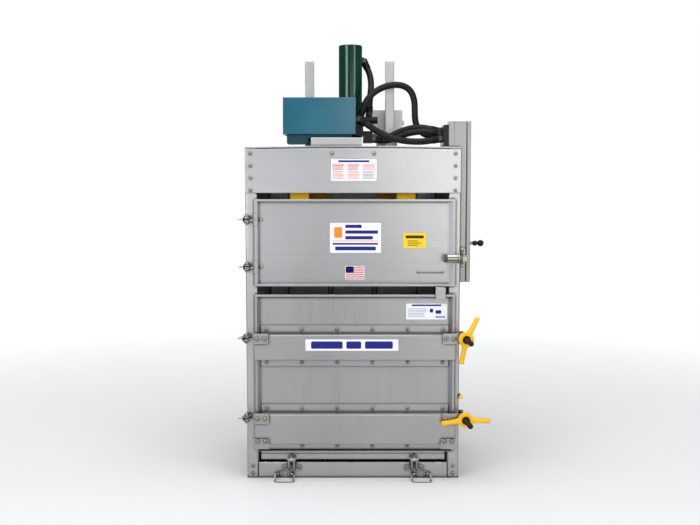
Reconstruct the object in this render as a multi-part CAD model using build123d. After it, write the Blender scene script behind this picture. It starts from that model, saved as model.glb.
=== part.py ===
"""Free-standing vertical waste compactor with a hydraulic ram.

Millimetres. X runs to the operator's right, Y away from the operator, Z up.
The origin is the centre of the underside of the base plate.
"""
from build123d import *
import os
from math import cos, radians, sin, sqrt, tan

# Body
BODY_WIDTH = 1030.0
BODY_DEPTH = 760.0
BASE_PLATE = 6.0
POST_SIZE = 56.0
POST_WALL = 4.0
POST_CORNER = 8.0
POST_TOP = 1598.0
SHEET = 3.0
THICK_SHEET = 4.0
BEND = 5.0
SEAM = 0.5

# Fits
RUNNING = 0.05
SLIDING = 0.3
DOOR_GAP = 2.0
STEP_CLEAR = 5.0
CUT_PAST = 1.0

# Base front panel and drop handles
BASE_PANEL_TOP = 77.0
BASE_FLANGE = 8.0
BASE_SCREW_LOW_Z = 23.0
BASE_SCREW_HIGH_Z = 58.5
HANDLE_INSET = 184.0
HANDLE_PLATE_WIDTH = 74.0
HANDLE_PLATE_TOP = 33.0
HANDLE_PLATE_BOTTOM = 4.0
HANDLE_PLATE = 4.0
BAIL_WIRE = 9.0
BAIL_BEND = 12.0
BAIL_END_BEND = 5.5
BAIL_WIDTH = 90.0
BAIL_LEG = 72.0
BAIL_PIVOT_Z = 21.0
BAIL_GROUND = 0.5
BAIL_BARREL = 14.0
BAIL_BARREL_LENGTH = 8.0
HANDLE_SCREW = 20.0
HANDLE_SCREW_Z = 16.0

# Roof and upper front cover
ROOF_EDGE = 7.0
ROOF_HEM = 10.0
ROOF_CROWN = 6.0
COVER_BOTTOM = 1387.0
COVER_TOP_DROP = 4.0
COVER_FLANGE = 25.0
COVER_SCREW_PITCH = 58.0
COVER_SCREW_INSET = 26.0
COVER_SCREW_TOP = 20.0
COVER_SCREW_ROWS = 4
COVER_MIDDLE_SCREW = 100.0

# Chamber back wall, with grooves for strapping
BACK_RIB_HEIGHT = 25.0
BACK_RIB_WIDTH = 214.0
STRAP_GROOVE = 28.0
BACK_RIBS = 3

# Stiffening beams on the side and back walls
WALL_BEAM_HEIGHT = 120.0
WALL_BEAM_SETBACK = 3.0
WALL_BEAM_LOW_Z = 255.0
WALL_BEAM_MIDDLE_Z = 651.0
WALL_BEAM_HIGH_Z = 1060.0

# Doors
DOOR_LEFT_MARGIN = 44.0
DOOR_RIGHT_MARGIN = 26.0
DOOR_RIM = 22.0
DOOR_LIP = 10.0
DOOR_SLOPE = 5.0
UPPER_LEFT_LIP = 16.0
UPPER_LEFT_SLOPE = 8.0
UPPER_RIGHT_SLOPE = 22.0
LOWER_SIDE_SLOPE = 18.0
UPPER_DOOR_BOTTOM = 941.0
UPPER_DOOR_TOP = 1357.0
LOWER_DOOR_BOTTOM = 137.0
LOWER_DOOR_TOP = 901.0

# Door beams
BEAM_DEPTH = 58.0
BEAM_SHEET = 4.0
BEAM_FLANGE = 38.0
UPPER_BEAM_BOTTOM = 590.0
UPPER_BEAM_TOP = 712.0
LOWER_BEAM_BOTTOM = 182.0
LOWER_BEAM_TOP = 327.0
BEAM_BOLTS = 6
BEAM_BOLT_INSET = 55.0

# Fasteners
SCREW_HEAD = 17.0
SCREW_HEAD_HEIGHT = 5.0
SCREW_DOME = 2.6
PIN_HEAD = 9.6
PIN_NUT = 12.0
PIN_NUT_HEIGHT = 9.0

# Hinges
HINGE_PIN = 12.0
HINGE_LUG = 5.0
HINGE_LUG_GAP = 12.0
HINGE_LUG_RADIUS = 19.0
HINGE_WRAP = 34.0
HINGE_TAPER = 11.0
HINGE_TONGUE = 6.0
TONGUE_HALF = 9.0
HINGE_EYE_RADIUS = 15.0
HINGE_TAIL = 39.0
HINGE_TAIL_AHEAD = 10.0
HINGE_TAIL_BEHIND = 52.0
HINGE_SPACER = 6.0
UPPER_HINGE_INSET = 8.0
UPPER_HINGE_REACH = 26.0
UPPER_HINGE_LOW_Z = 1034.0
UPPER_HINGE_HIGH_Z = 1261.0
LOWER_HINGE_INSET = 4.0
LOWER_HINGE_REACH = 50.0
LOWER_HINGE_LOW_Z = 307.0
LOWER_HINGE_HIGH_Z = 694.0
LEAF_SHEET = 6.0
LEAF_WIDTH = 72.0
LEAF_HEIGHT = 50.0
LEAF_CORNER = 8.0
STRAP_SHEET = 2.5
STRAP_HEIGHT = 57.0

# Clamps of the lower door
CLAMP_OFFSET = 13.0
CLAMP_SETBACK = 35.0
CLAMP_SPLAY = 4.0
CLAMP_EYE = 26.0
CLAMP_EYE_HEIGHT = 26.0
CLAMP_PIN = 12.0
CLAMP_LUG = 6.0
CLAMP_STUD = 24.0
CLAMP_STUD_LENGTH = 258.0
CLAMP_SLOT = 28.0
CLAMP_SLOT_SHIFT = 5.0
NUT_STANDOFF = 5.4
FORK_OVERHANG = 46.0
FORK_ON_DOOR = 61.0
FORK_SCREW_INSET = 34.0
CORNER_PLATE_RISE = 3.0
NUT_RADIUS = 36.0
NUT_THICK = 32.0
NUT_ARM = 24.0
NUT_ARM_REACH = 118.0
NUT_ARM_FORWARD = 8.0
NUT_ARM_ROOT = 21.6
UPPER_NUT_ARMS = (63.0, 258.0)
LOWER_NUT_ARMS = (-2.0, 187.0)

# Pull of the upper door and tab of the lower door
PULL_WIRE = 6.0
PULL_BEND = 9.0
PULL_INSET = 118.0
PULL_Z = 1007.0
PULL_WIDTH = 120.0
PULL_REACH = 26.0
TAB_INSET = 69.0
TAB_WIDTH = 48.0
TAB_BOTTOM = 878.0
TAB_TOP = 938.0

# Turning latch of the upper door
LATCH_Z = 1077.0
LATCH_PLATE_WIDTH = 30.0
LATCH_PLATE_CORNER = 13.0
LATCH_SHIFT = 15.3
LATCH_PLATE_HEIGHT = 90.0
LATCH_PLATE = 5.0
LATCH_POST = 11.0
LATCH_PIN = 7.0
LATCH_HUB = 17.0
LATCH_HUB_DEPTH = 26.0
LATCH_STANDOFF = 27.0
LATCH_NECK = 12.0
LATCH_NECK_ROOT = 13.6
LATCH_NECK_LENGTH = 24.0
LATCH_COLLAR = 24.0
LATCH_COLLAR_LENGTH = 6.0
LATCH_BARREL = 21.0
LATCH_BARREL_LENGTH = 52.0
LATCH_KNOB = 17.5
LATCH_KNOB_LENGTH = 17.0
LATCH_GROOVE = 3.0
LATCH_GROOVE_SPREAD = 7.3
LATCH_GROOVE_FLOOR = 15.5

# Pull pin
PULL_PIN_Z = 402.0
PULL_PIN_BALL = 10.5
PULL_PIN_ROD = 5.0
PULL_PIN_SLEEVE = 7.0
PULL_PIN_SLEEVE_LENGTH = 34.0
PULL_PIN_OFFSET = 8.0

# Tipping floor
FLOOR_TOP = 135.0
FLOOR_LIP_BOTTOM = 84.0
FLOOR_LIP_SETBACK = 30.0
FLOOR_SIDE_CLEAR = 9.0
FLOOR_BACK_CLEAR = 18.0
FLOOR_RIBS = 7
FLOOR_RIB_INSET = 30.0
FLOOR_RIB_SETBACK = 100.0
FLOOR_RIB = 5.0
CLEVIS_INSET = 217.0
CLEVIS_PIN = 12.0
CLEVIS_PIN_Z = 96.0
CLEVIS_PIN_REACH = 20.0
CLEVIS_CHEEK = 8.0
CLEVIS_SHOULDER = 7.2
CLEVIS_WASHER = 10.2
CLEVIS_PIN_END = 6.0
CLEVIS_TONGUE = 16.0
CLEVIS_PLATE_WIDTH = 96.0
CLEVIS_PLATE_HEIGHT = 31.0
CLEVIS_PLATE_Z = 51.0
CLEVIS_BOLT_PITCH = 72.0

# Crosshead, ram and cylinder
RAM_X = -12.0
DECK_DROP = 14.0
PISTON_LENGTH = 28.0
CROSSHEAD_PLATE = 12.0
CROSSHEAD_HEIGHT = 100.0
CROSSHEAD_FLANGE = 45.0
CROSSHEAD_SPREAD = 95.0
CYLINDER_RADIUS = 60.0
CYLINDER_WALL = 9.0
CYLINDER_TOP = 2132.0
CYLINDER_CAP = 48.0
CYLINDER_FLANGE = 85.0
CYLINDER_FLANGE_THICK = 8.0
GLAND_LENGTH = 14.0
ROD_RADIUS = 30.0
PORT_RADIUS = 13.0
PORT_ANGLE = 44.0
PORT_BOSS = 10.0
PORT_DROP = 15.0
GUIDE_X = -16.0
GUIDE_SIZE = 46.0
GUIDE_WALL = 3.0
GUIDE_SPREAD = 204.0
GUIDE_DROP = 81.0
GUIDE_COLLAR = 8.0
GUIDE_COLLAR_LENGTH = 50.0
PLATEN_BOTTOM = 1328.0
PLATEN_SHEET = 10.0
PLATEN_SKIRT = 22.0
PLATEN_SIDE_CLEAR = 15.0
PLATEN_CLEAR = 12.0
CHANNEL_WIDTH = 88.0
CHANNEL_HEIGHT = 70.0
CHANNEL_SHEET = 6.0
CHANNEL_OUTER = 301.0
ROD_BLOCK_WIDTH = 240.0
ROD_BLOCK_DEPTH = 150.0
ROD_BLOCK_HEIGHT = 60.0
CROSS_BAR = 26.0

# Power unit on the roof
TANK_LEFT = -340.0
TANK_RIGHT = 14.0
TANK_FRONT = -280.0
TANK_BACK = -72.0
TANK_BOTTOM = 1672.0
TANK_TOP = 1849.0
TANK_INSET = 18.0
SUMP_RIGHT = -218.0
SUMP_BOTTOM = 1628.0
BRACKET_LEFT = -203.0
BRACKET_RIGHT = 44.0
BRACKET_FRONT = -305.0
BRACKET_TOP = 1654.0
PUMP_WIDTH = 37.0
PUMP_FRONT = -215.0
PUMP_BOTTOM = 1668.0
PUMP_TOP = 1746.0
MANIFOLD_WIDTH = 45.0
MANIFOLD_BOTTOM = 1632.0
MANIFOLD_TOP = 1690.0
MANIFOLD_BACK = -135.0
SOLENOID_LENGTH = 74.0
SOLENOID_RADIUS = 18.0
SOLENOID_Y = -90.0
SOLENOID_Z = 1750.0
SOLENOID_SEAT = 30.0
SOLENOID_SEAT_TOP = 1770.0
JUNCTION_LEFT = 100.0
JUNCTION_RIGHT = 257.0
JUNCTION_FRONT = 48.0
JUNCTION_DEPTH = 100.0
JUNCTION_BOTTOM = 1688.0
JUNCTION_TOP = 1811.0

# Control column and lever
COLUMN_BOTTOM = 955.0
COLUMN_TOP = 1731.0
COLUMN_WIDTH = 86.0
COLUMN_DEPTH = 100.0
COLUMN_SEAM = 25.0
COLUMN_LIP = 15.0
COLUMN_GROOVE = 1.5
COLUMN_GROOVE_DEPTH = 1.0
COVER_NECK = 3.0
COVER_NECK_INSET = 2.4
COVER_STRIP = 18.0
LEVER_RISE = 186.0
LEVER_REACH = 49.0
LEVER_HUB_HALF = 7.0
LEVER_HUB = 6.0
LEVER_BALL = 16.0
LEVER_ROD = 5.0
LEVER_EAR = 14.0
VALVE_WIDTH = 26.0
VALVE_BOTTOM = 1614.0
VALVE_TOP = 1714.0
VALVE_DEPTH = 182.0

# Hoses
HOSE = 32.0
HOSE_BEND_SHARE = 0.45
FITTING = 20.0
FITTING_LENGTH = 20.0
NUT_TO_FACE = 18.0
PORT_END_RIGHT = 74.0
PORT_END_BACK = 54.0
PORT_END_DROP = 19.0
LOOP_PORT_DEPTH = 160.0
LOOP_PORT_Z = 1664.0
FRONT_PORT_DEPTH = 36.0
FRONT_PORT_Z = 1648.0
ARCH_PORT_DEPTH = 121.0
ARCH_PORT_Z = 1690.0
RETURN_PORT_DEPTH = 70.0
RETURN_PORT_Z = 1672.0

half_width = BODY_WIDTH / 2
front = -BODY_DEPTH / 2
back = BODY_DEPTH / 2
opening_half = half_width - POST_SIZE
post_inner_y = back - POST_SIZE
back_rib_face = post_inner_y
cover_top = POST_TOP - COVER_TOP_DROP
door_left = -half_width + DOOR_LEFT_MARGIN
door_right = half_width - DOOR_RIGHT_MARGIN
door_back = front - DOOR_GAP
rim_front = door_back - DOOR_RIM
panel_front = door_back - SHEET
beam_front = panel_front - BEAM_DEPTH
beam_bolt_pitch = (door_right - door_left - 2 * BEAM_BOLT_INSET) / (BEAM_BOLTS - 1)
wall_beam_levels = (WALL_BEAM_LOW_Z, WALL_BEAM_MIDDLE_Z, WALL_BEAM_HIGH_Z)
upper_hinge_levels = (UPPER_HINGE_LOW_Z, UPPER_HINGE_HIGH_Z)
lower_hinge_levels = (LOWER_HINGE_LOW_Z, LOWER_HINGE_HIGH_Z)
upper_hinge = (-half_width + UPPER_HINGE_INSET, front - UPPER_HINGE_REACH)
lower_hinge = (-half_width + LOWER_HINGE_INSET, front - LOWER_HINGE_REACH)
upper_lips = (UPPER_LEFT_LIP, DOOR_LIP, DOOR_LIP, DOOR_LIP)
upper_slopes = (UPPER_LEFT_SLOPE, UPPER_RIGHT_SLOPE, DOOR_SLOPE, DOOR_SLOPE)
lower_lips = (DOOR_LIP, DOOR_LIP, SHEET, DOOR_LIP)
lower_slopes = (LOWER_SIDE_SLOPE, LOWER_SIDE_SLOPE, SEAM, DOOR_SLOPE)
pull_x = door_right - PULL_INSET
tab_x = door_right - TAB_INSET
handle_x = half_width - HANDLE_INSET
clevis_x = half_width - CLEVIS_INSET
floor_half = opening_half - FLOOR_SIDE_CLEAR
floor_back = back_rib_face - FLOOR_BACK_CLEAR
lip_y = front + FLOOR_LIP_SETBACK
roof_peak = POST_TOP + ROOF_EDGE + ROOF_CROWN
deck = POST_TOP - DECK_DROP
platen_half = opening_half - PLATEN_SIDE_CLEAR
clamp_x = half_width + CLAMP_OFFSET
clamp_y = front + CLAMP_SETBACK
latch_x = half_width + LATCH_SHIFT
latch_y = rim_front - LATCH_STANDOFF
port_z = CYLINDER_TOP - CYLINDER_CAP - PORT_DROP
guide_top = CYLINDER_TOP - GUIDE_DROP
column_left = opening_half + SHEET
column_right = column_left + COLUMN_WIDTH
column_front = -post_inner_y
lever_z = COLUMN_BOTTOM + LEVER_RISE
strip_left = column_right + COVER_NECK
strip_right = strip_left + COVER_STRIP
guide_xs = (GUIDE_X - GUIDE_SPREAD, GUIDE_X + GUIDE_SPREAD)


def block(xs, ys, zs):
    """A box between two values along each axis."""
    size = (xs[1] - xs[0], ys[1] - ys[0], zs[1] - zs[0])
    centre = ((xs[0] + xs[1]) / 2, (ys[0] + ys[1]) / 2, (zs[0] + zs[1]) / 2)
    return Pos(*centre) * Box(*size)


def centred_block(centre, size):
    """A box of a given size about a point."""
    return Pos(*centre) * Box(*size)


def rod(start, end, radius):
    """A round bar between two points."""
    direction = Vector(*end) - Vector(*start)
    plane = Plane(origin=start, z_dir=direction)
    bar = Cylinder(radius, direction.length, align=(Align.CENTER, Align.CENTER, Align.MIN))
    return plane * bar


def drill(start, end, radius):
    """A round cutter that runs a little past both points."""
    along = (Vector(*end) - Vector(*start)).normalized() * CUT_PAST
    return rod(tuple(Vector(*start) - along), tuple(Vector(*end) + along), radius)


def tube(start, end, radius, bore):
    """A round tube between two points."""
    return rod(start, end, radius) - drill(start, end, bore)


def prism_x(points, xs):
    """A (y, z) outline carried along X."""
    plane = Plane.YZ.offset(xs[0])
    return extrude(plane * Polygon(*points, align=None), amount=xs[1] - xs[0], dir=(1, 0, 0))


def prism_y(points, ys):
    """An (x, z) outline carried along Y."""
    plane = Plane.XZ.offset(-ys[1])
    return extrude(plane * Polygon(*points, align=None), amount=ys[1] - ys[0], dir=(0, -1, 0))


def prism_z(points, zs):
    """An (x, y) outline carried along Z."""
    plane = Plane.XY.offset(zs[0])
    return extrude(plane * Polygon(*points, align=None), amount=zs[1] - zs[0], dir=(0, 0, 1))


def rounded_plate(centre, size, corner):
    """An upright plate facing the operator, with rounded corners: size is X, Y and Z."""
    plane = Plane(origin=(centre[0], centre[1] + size[1] / 2, centre[2]), x_dir=(1, 0, 0), z_dir=(0, -1, 0))
    return extrude(plane * RectangleRounded(size[0], size[2], corner), amount=size[1])


def screw_head(seat, direction):
    """A domed screw head, seated on a face at a point."""
    plane = Plane(origin=seat, z_dir=direction)
    head = Cylinder(SCREW_HEAD / 2, SCREW_HEAD_HEIGHT, align=(Align.CENTER, Align.CENTER, Align.MIN))
    rim = head.edges().group_by(Axis.Z)[-1]
    return plane * chamfer(rim, SCREW_DOME)


def roof_height(x):
    """Height of the crowned roof's upper face at a distance from the middle."""
    return roof_peak - ROOF_CROWN * (x / half_width) ** 2


# Frame

def make_base_plate():
    return block((-half_width, half_width), (front, back), (0, BASE_PLATE))


def make_base_front_panel():
    width = (-opening_half + SEAM, opening_half - SEAM)
    skin = block(width, (front, front + SHEET), (BASE_PLATE, BASE_PANEL_TOP))
    flange = block(width, (front, front + BASE_FLANGE), (BASE_PANEL_TOP - SHEET, BASE_PANEL_TOP))
    panel = skin + flange
    corner = panel.edges().filter_by(Axis.X).group_by(Axis.Z)[-1].sort_by(Axis.Y)[0]
    return fillet(corner, SHEET - SEAM)


def make_post(side, end):
    """A square-tube corner post: side is -1 or 1 along X, end is -1 or 1 along Y."""
    x = side * (half_width - POST_SIZE / 2)
    y = end * (back - POST_SIZE / 2)
    inner = POST_SIZE - 2 * POST_WALL
    section = RectangleRounded(POST_SIZE, POST_SIZE, POST_CORNER)
    section -= RectangleRounded(inner, inner, POST_CORNER - POST_WALL)
    return extrude(Plane((x, y, BASE_PLATE)) * section, amount=POST_TOP - BASE_PLATE)


def make_side_wall(side):
    inner = side * opening_half
    outer = side * (opening_half + SHEET)
    return block(sorted((inner, outer)), (-post_inner_y, post_inner_y), (BASE_PLATE, POST_TOP))


def hat_profile(low, high, foot, crest, sheet):
    """Outline of a hat section: low and high bound its web, foot is the seat and crest the web's face."""
    step = sheet if crest > foot else -sheet
    return [
        (foot, low - BEAM_FLANGE), (foot, low + sheet), (crest - step, low + sheet),
        (crest - step, high - sheet), (foot, high - sheet), (foot, high + BEAM_FLANGE),
        (foot + step, high + BEAM_FLANGE), (foot + step, high), (crest, high),
        (crest, low), (foot + step, low), (foot + step, low - BEAM_FLANGE),
    ]


def make_wall_beams():
    """Hat sections welded across the outside of the side walls and the back wall."""
    beams = []
    half = WALL_BEAM_HEIGHT / 2
    seat = opening_half + SHEET
    crest = half_width - WALL_BEAM_SETBACK
    for level in wall_beam_levels:
        outline = hat_profile(level - half, level + half, seat, crest, SHEET)
        right_start = -post_inner_y
        if level + half + BEAM_FLANGE > COLUMN_BOTTOM:
            right_start = column_front + COLUMN_DEPTH
        right = prism_y(outline, (right_start, post_inner_y))
        left = mirror(prism_y(outline, (-post_inner_y, post_inner_y)), about=Plane.YZ)
        beams.append(right)
        beams.append(left)
        rear_outline = hat_profile(level - half, level + half, back_rib_face + BACK_RIB_HEIGHT + SHEET,
                                   back - WALL_BEAM_SETBACK, SHEET)
        beams.append(prism_x(rear_outline, (-opening_half, opening_half)))
    return Compound(children=beams)


def make_back_wall():
    """Three broad ribs towards the chamber, joined by flat strips behind the strapping grooves."""
    height = (BASE_PLATE, POST_TOP)
    rear = back_rib_face + BACK_RIB_HEIGHT
    pitch = BACK_RIB_WIDTH + STRAP_GROOVE
    strip_start = -opening_half
    sheets = []
    for index in range(BACK_RIBS):
        middle = (index - (BACK_RIBS - 1) / 2) * pitch
        left = middle - BACK_RIB_WIDTH / 2
        right = middle + BACK_RIB_WIDTH / 2
        rib = block((left, right), (back_rib_face, rear + SHEET), height)
        rib -= block((left + SHEET, right - SHEET), (back_rib_face + SHEET, rear + SHEET), height)
        sheets.append(rib)
        sheets.append(block((strip_start, left), (rear, rear + SHEET), height))
        strip_start = right
    sheets.append(block((strip_start, opening_half), (rear, rear + SHEET), height))
    return Compound(children=sheets)


def crowned_bar(half, bottom, top, crown, ys):
    """A bar from side to side whose upper and lower faces are crowned."""
    with BuildPart() as bar:
        with BuildSketch(Plane.XZ.offset(-ys[1])):
            with BuildLine():
                lower = ThreePointArc((-half, bottom), (0, bottom + crown), (half, bottom))
                side = Line(lower @ 1, (half, top))
                upper = ThreePointArc(side @ 1, (0, top + crown), (-half, top))
                Line(upper @ 1, lower @ 0)
            make_face()
        extrude(amount=ys[1] - ys[0])
    return bar.part


def make_roof():
    """A crowned sheet with a hem folded down all round, cut away for the cylinder, guides and column."""
    top = POST_TOP + ROOF_EDGE
    sheet = crowned_bar(half_width, POST_TOP, top, ROOF_CROWN, (front, back))
    inner = half_width - ROOF_HEM
    pocket = (front + ROOF_HEM, back - ROOF_HEM)
    sheet -= crowned_bar(inner, POST_TOP - CUT_PAST, top - SHEET, ROOF_CROWN, pocket)
    depth = (POST_TOP - STEP_CLEAR, roof_peak + STEP_CLEAR)
    sheet -= rod((RAM_X, 0, depth[0]), (RAM_X, 0, depth[1]), CYLINDER_RADIUS + STEP_CLEAR)
    hole = GUIDE_SIZE + 2 * STEP_CLEAR
    for x in guide_xs:
        sheet -= centred_block((x, 0, roof_peak), (hole, hole, hole))
    notch_x = (column_left - SEAM, half_width + STEP_CLEAR)
    notch_y = (column_front - SEAM, column_front + COLUMN_DEPTH + SEAM)
    return sheet - block(notch_x, notch_y, depth)


def make_upper_cover():
    """The folded cover that closes the front above the loading door."""
    inside = (-opening_half + SEAM, opening_half - SEAM)
    with BuildPart() as skin:
        with BuildSketch(Plane.XZ.offset(-front)):
            with BuildLine():
                middle = (0, cover_top + ROOF_CROWN)
                crown = ThreePointArc((-half_width, cover_top), middle, (half_width, cover_top))
                right = Line(crown @ 1, (half_width, COVER_BOTTOM))
                bottom = Line(right @ 1, (-half_width, COVER_BOTTOM))
                Line(bottom @ 1, crown @ 0)
            make_face()
        extrude(amount=SHEET)
    lower = block(inside, (front, front + COVER_FLANGE), (COVER_BOTTOM, COVER_BOTTOM + SHEET))
    cover = skin.part + lower
    edges = cover.edges().filter_by(Axis.X).group_by(Axis.Y)[0]
    return fillet(edges, SHEET - 2 * SEAM)


def cover_screw_seats():
    """Where the upper cover's screws sit: a row down each post and two along the top."""
    seats = []
    for side in (-1, 1):
        for row in range(COVER_SCREW_ROWS):
            z = cover_top - COVER_SCREW_TOP - row * COVER_SCREW_PITCH
            seats.append((side * (half_width - COVER_SCREW_INSET), z))
        seats.append((side * COVER_MIDDLE_SCREW, cover_top - COVER_SCREW_TOP))
    return seats


def make_frame_screws():
    """Every domed screw in the fixed frame."""
    heads = []
    for x, z in cover_screw_seats():
        heads.append(screw_head((x, front - SHEET, z), (0, -1, 0)))
    for side in (-1, 1):
        for z in (BASE_SCREW_LOW_Z, BASE_SCREW_HIGH_Z):
            heads.append(screw_head((side * (half_width - POST_SIZE / 2), front, z), (0, -1, 0)))
        plate_face = front - HANDLE_PLATE
        for offset in (-CLEVIS_BOLT_PITCH / 2, CLEVIS_BOLT_PITCH / 2):
            heads.append(screw_head((side * clevis_x + offset, plate_face, CLEVIS_PLATE_Z), (0, -1, 0)))
        for offset in (-HANDLE_SCREW, HANDLE_SCREW):
            heads.append(screw_head((side * handle_x + offset, plate_face, HANDLE_SCREW_Z), (0, -1, 0)))
    for offset in (-1, 1):
        z = LATCH_Z + offset * (LATCH_PLATE_HEIGHT / 2 - LATCH_PLATE_WIDTH / 2)
        heads.append(screw_head((latch_x, column_front - LATCH_PLATE, z), (0, -1, 0)))
    return Compound(children=heads)


# Doors

def tapered_pocket(outer, inner, ys):
    """A pocket that narrows from one rectangle to another: each is left, right, bottom, top."""
    faces = []
    for bounds, y in ((outer, ys[0]), (inner, ys[1])):
        middle = ((bounds[0] + bounds[1]) / 2, y, (bounds[2] + bounds[3]) / 2)
        plane = Plane(origin=middle, x_dir=(1, 0, 0), z_dir=(0, -1, 0))
        faces.append(plane * Rectangle(bounds[1] - bounds[0], bounds[3] - bounds[2]))
    return loft(faces)


def make_door_pan(bottom, top, lips, slopes):
    """A sheet pan: flat panel at the back, sloping up to a lip that turns back at the edge.

    Lips and slopes are widths at the left, right, bottom and top.
    """
    sides = (door_left, door_right, bottom, top)
    signs = (1, -1, 1, -1)
    mouth = [side + sign * lip for side, sign, lip in zip(sides, signs, lips)]
    floor = [edge + sign * slope for edge, sign, slope in zip(mouth, signs, slopes)]
    shell = block((door_left, door_right), (rim_front, door_back), (bottom, top))
    shell -= tapered_pocket(mouth, floor, (rim_front, panel_front))
    hollow = block((door_left + SHEET, door_right - SHEET), (rim_front + SHEET, door_back),
                   (bottom + SHEET, top - SHEET))
    wall_mouth = [edge - sign * SHEET for edge, sign in zip(mouth, signs)]
    wall_floor = [edge - sign * SHEET for edge, sign in zip(floor, signs)]
    keep = tapered_pocket(wall_mouth, wall_floor, (rim_front, panel_front))
    keep += block(wall_floor[0:2], (panel_front, door_back), wall_floor[2:4])
    return shell - (hollow - keep)


def make_door_beam(low, high):
    """A hat-section beam with closed ends, notched over the door's rim."""
    outline = hat_profile(low, high, panel_front, beam_front, BEAM_SHEET)
    beam = prism_x(outline, (door_left, door_right))
    crest = beam.edges().filter_by(Axis.X).group_by(Axis.Y)[0]
    beam = fillet(crest, BEAM_SHEET - SEAM)
    for end in (door_left, door_right - BEAM_SHEET):
        beam += block((end, end + BEAM_SHEET), (beam_front + BEAM_SHEET, panel_front),
                      (low + BEAM_SHEET, high - BEAM_SHEET))
    rim_depth = (rim_front - SEAM, door_back)
    tall = (low - BEAM_FLANGE, high + BEAM_FLANGE)
    left_rim = (door_left, door_left + DOOR_LIP + LOWER_SIDE_SLOPE)
    right_rim = (door_right - DOOR_LIP - LOWER_SIDE_SLOPE, door_right)
    beam -= block(left_rim, rim_depth, tall)
    return beam - block(right_rim, rim_depth, tall)


def make_beam_bolts():
    """Bolt heads along the flanges of both door beams; the corner plates cover the lowest outer two."""
    heads = []
    for low, high in ((UPPER_BEAM_BOTTOM, UPPER_BEAM_TOP), (LOWER_BEAM_BOTTOM, LOWER_BEAM_TOP)):
        for z in (low - BEAM_FLANGE / 2, high + BEAM_FLANGE / 2):
            for index in range(BEAM_BOLTS):
                covered = z < LOWER_BEAM_BOTTOM and index in (0, BEAM_BOLTS - 1)
                x = door_left + BEAM_BOLT_INSET + index * beam_bolt_pitch
                if not covered:
                    heads.append(screw_head((x, panel_front - BEAM_SHEET, z), (0, -1, 0)))
    return Compound(children=heads)


def plate_screws(x, z):
    """Two domed screws on a plate that lies on the beam's face."""
    spread = LEAF_WIDTH / 4
    face = beam_front - LEAF_SHEET
    return [screw_head((x + offset, face, z), (0, -1, 0)) for offset in (-spread, spread)]


def make_tongue(pin_x, pin_y, level, reach):
    """The moving knuckle: a flat eye round the pin, with a bar that runs to the door."""
    low = level - HINGE_LUG_GAP / 2 + SLIDING
    high = low + HINGE_TONGUE
    eye = rod((pin_x, pin_y, low), (pin_x, pin_y, high), HINGE_EYE_RADIUS)
    bar = block((pin_x, reach), (pin_y - TONGUE_HALF, pin_y + TONGUE_HALF), (low, high))
    bore = drill((pin_x, pin_y, low), (pin_x, pin_y, high), HINGE_PIN / 2 + RUNNING)
    return eye + bar - bore


def make_upper_leaves():
    """Straps that wrap the loading door's rim at each hinge, with their tongues."""
    leaves = []
    for level in upper_hinge_levels:
        tall = (level - STRAP_HEIGHT / 2, level + STRAP_HEIGHT / 2)
        outer = door_left - STRAP_SHEET
        leaf = block((outer, door_left), (rim_front - STRAP_SHEET, door_back), tall)
        leaf += block((outer, door_left + UPPER_LEFT_LIP), (rim_front - STRAP_SHEET, rim_front), tall)
        tongue = make_tongue(*upper_hinge, level, outer)
        leaves.append(leaf + tongue)
        inner = door_left + UPPER_LEFT_LIP + UPPER_LEFT_SLOPE + SCREW_HEAD / 2
        leaves.append(screw_head((inner, panel_front, level), (0, -1, 0)))
    return Compound(children=leaves)


def make_lower_leaves():
    """Hinge leaves on the ends of the beams, each with a tongue to its pin."""
    pieces = []
    left = door_left - BEAM_SHEET
    middle = left + LEAF_WIDTH / 2
    for level in lower_hinge_levels:
        centre = (middle, beam_front - LEAF_SHEET / 2, level)
        leaf = rounded_plate(centre, (LEAF_WIDTH, LEAF_SHEET, LEAF_HEIGHT), LEAF_CORNER)
        cheek_z = (level - LEAF_HEIGHT / 2 + LEAF_CORNER, level + LEAF_HEIGHT / 2 - LEAF_CORNER)
        cheek_y = (beam_front - LEAF_SHEET, lower_hinge[1] + HINGE_EYE_RADIUS)
        leaf += block((left, door_left), cheek_y, cheek_z)
        leaf += make_tongue(*lower_hinge, level, left)
        pieces.append(leaf)
        pieces.extend(plate_screws(middle, level))
    return Compound(children=pieces)


def make_door_plates():
    """Forked clamp plates on the free end of the beams and plates over the bottom corners."""
    pieces = []
    fork_left = door_right - FORK_ON_DOOR
    fork_right = half_width + FORK_OVERHANG
    slot_low = clamp_x + CLAMP_SLOT_SHIFT
    for level in lower_hinge_levels:
        centre = ((fork_left + fork_right) / 2, beam_front - LEAF_SHEET / 2, level)
        fork = rounded_plate(centre, (fork_right - fork_left, LEAF_SHEET, LEAF_HEIGHT), LEAF_CORNER)
        slot_face = (slot_low, beam_front - LEAF_SHEET, level)
        fork -= drill((slot_low, beam_front, level), slot_face, CLAMP_SLOT / 2)
        fork -= block((slot_low, fork_right), (beam_front - LEAF_SHEET, beam_front),
                      (level - CLAMP_SLOT / 2, level + CLAMP_SLOT / 2))
        pieces.append(fork)
        pieces.extend(plate_screws(fork_left + FORK_SCREW_INSET, level))
    low_z = LOWER_BEAM_BOTTOM + CORNER_PLATE_RISE
    inset = LEAF_WIDTH / 2 - BEAM_SHEET
    for x in (door_left + inset, door_right - inset):
        centre = (x, beam_front - LEAF_SHEET / 2, low_z)
        pieces.append(rounded_plate(centre, (LEAF_WIDTH, LEAF_SHEET, LEAF_HEIGHT), LEAF_SHEET / 2))
        pieces.extend(plate_screws(x, low_z + LEAF_HEIGHT / 4))
    return Compound(children=pieces)


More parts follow.
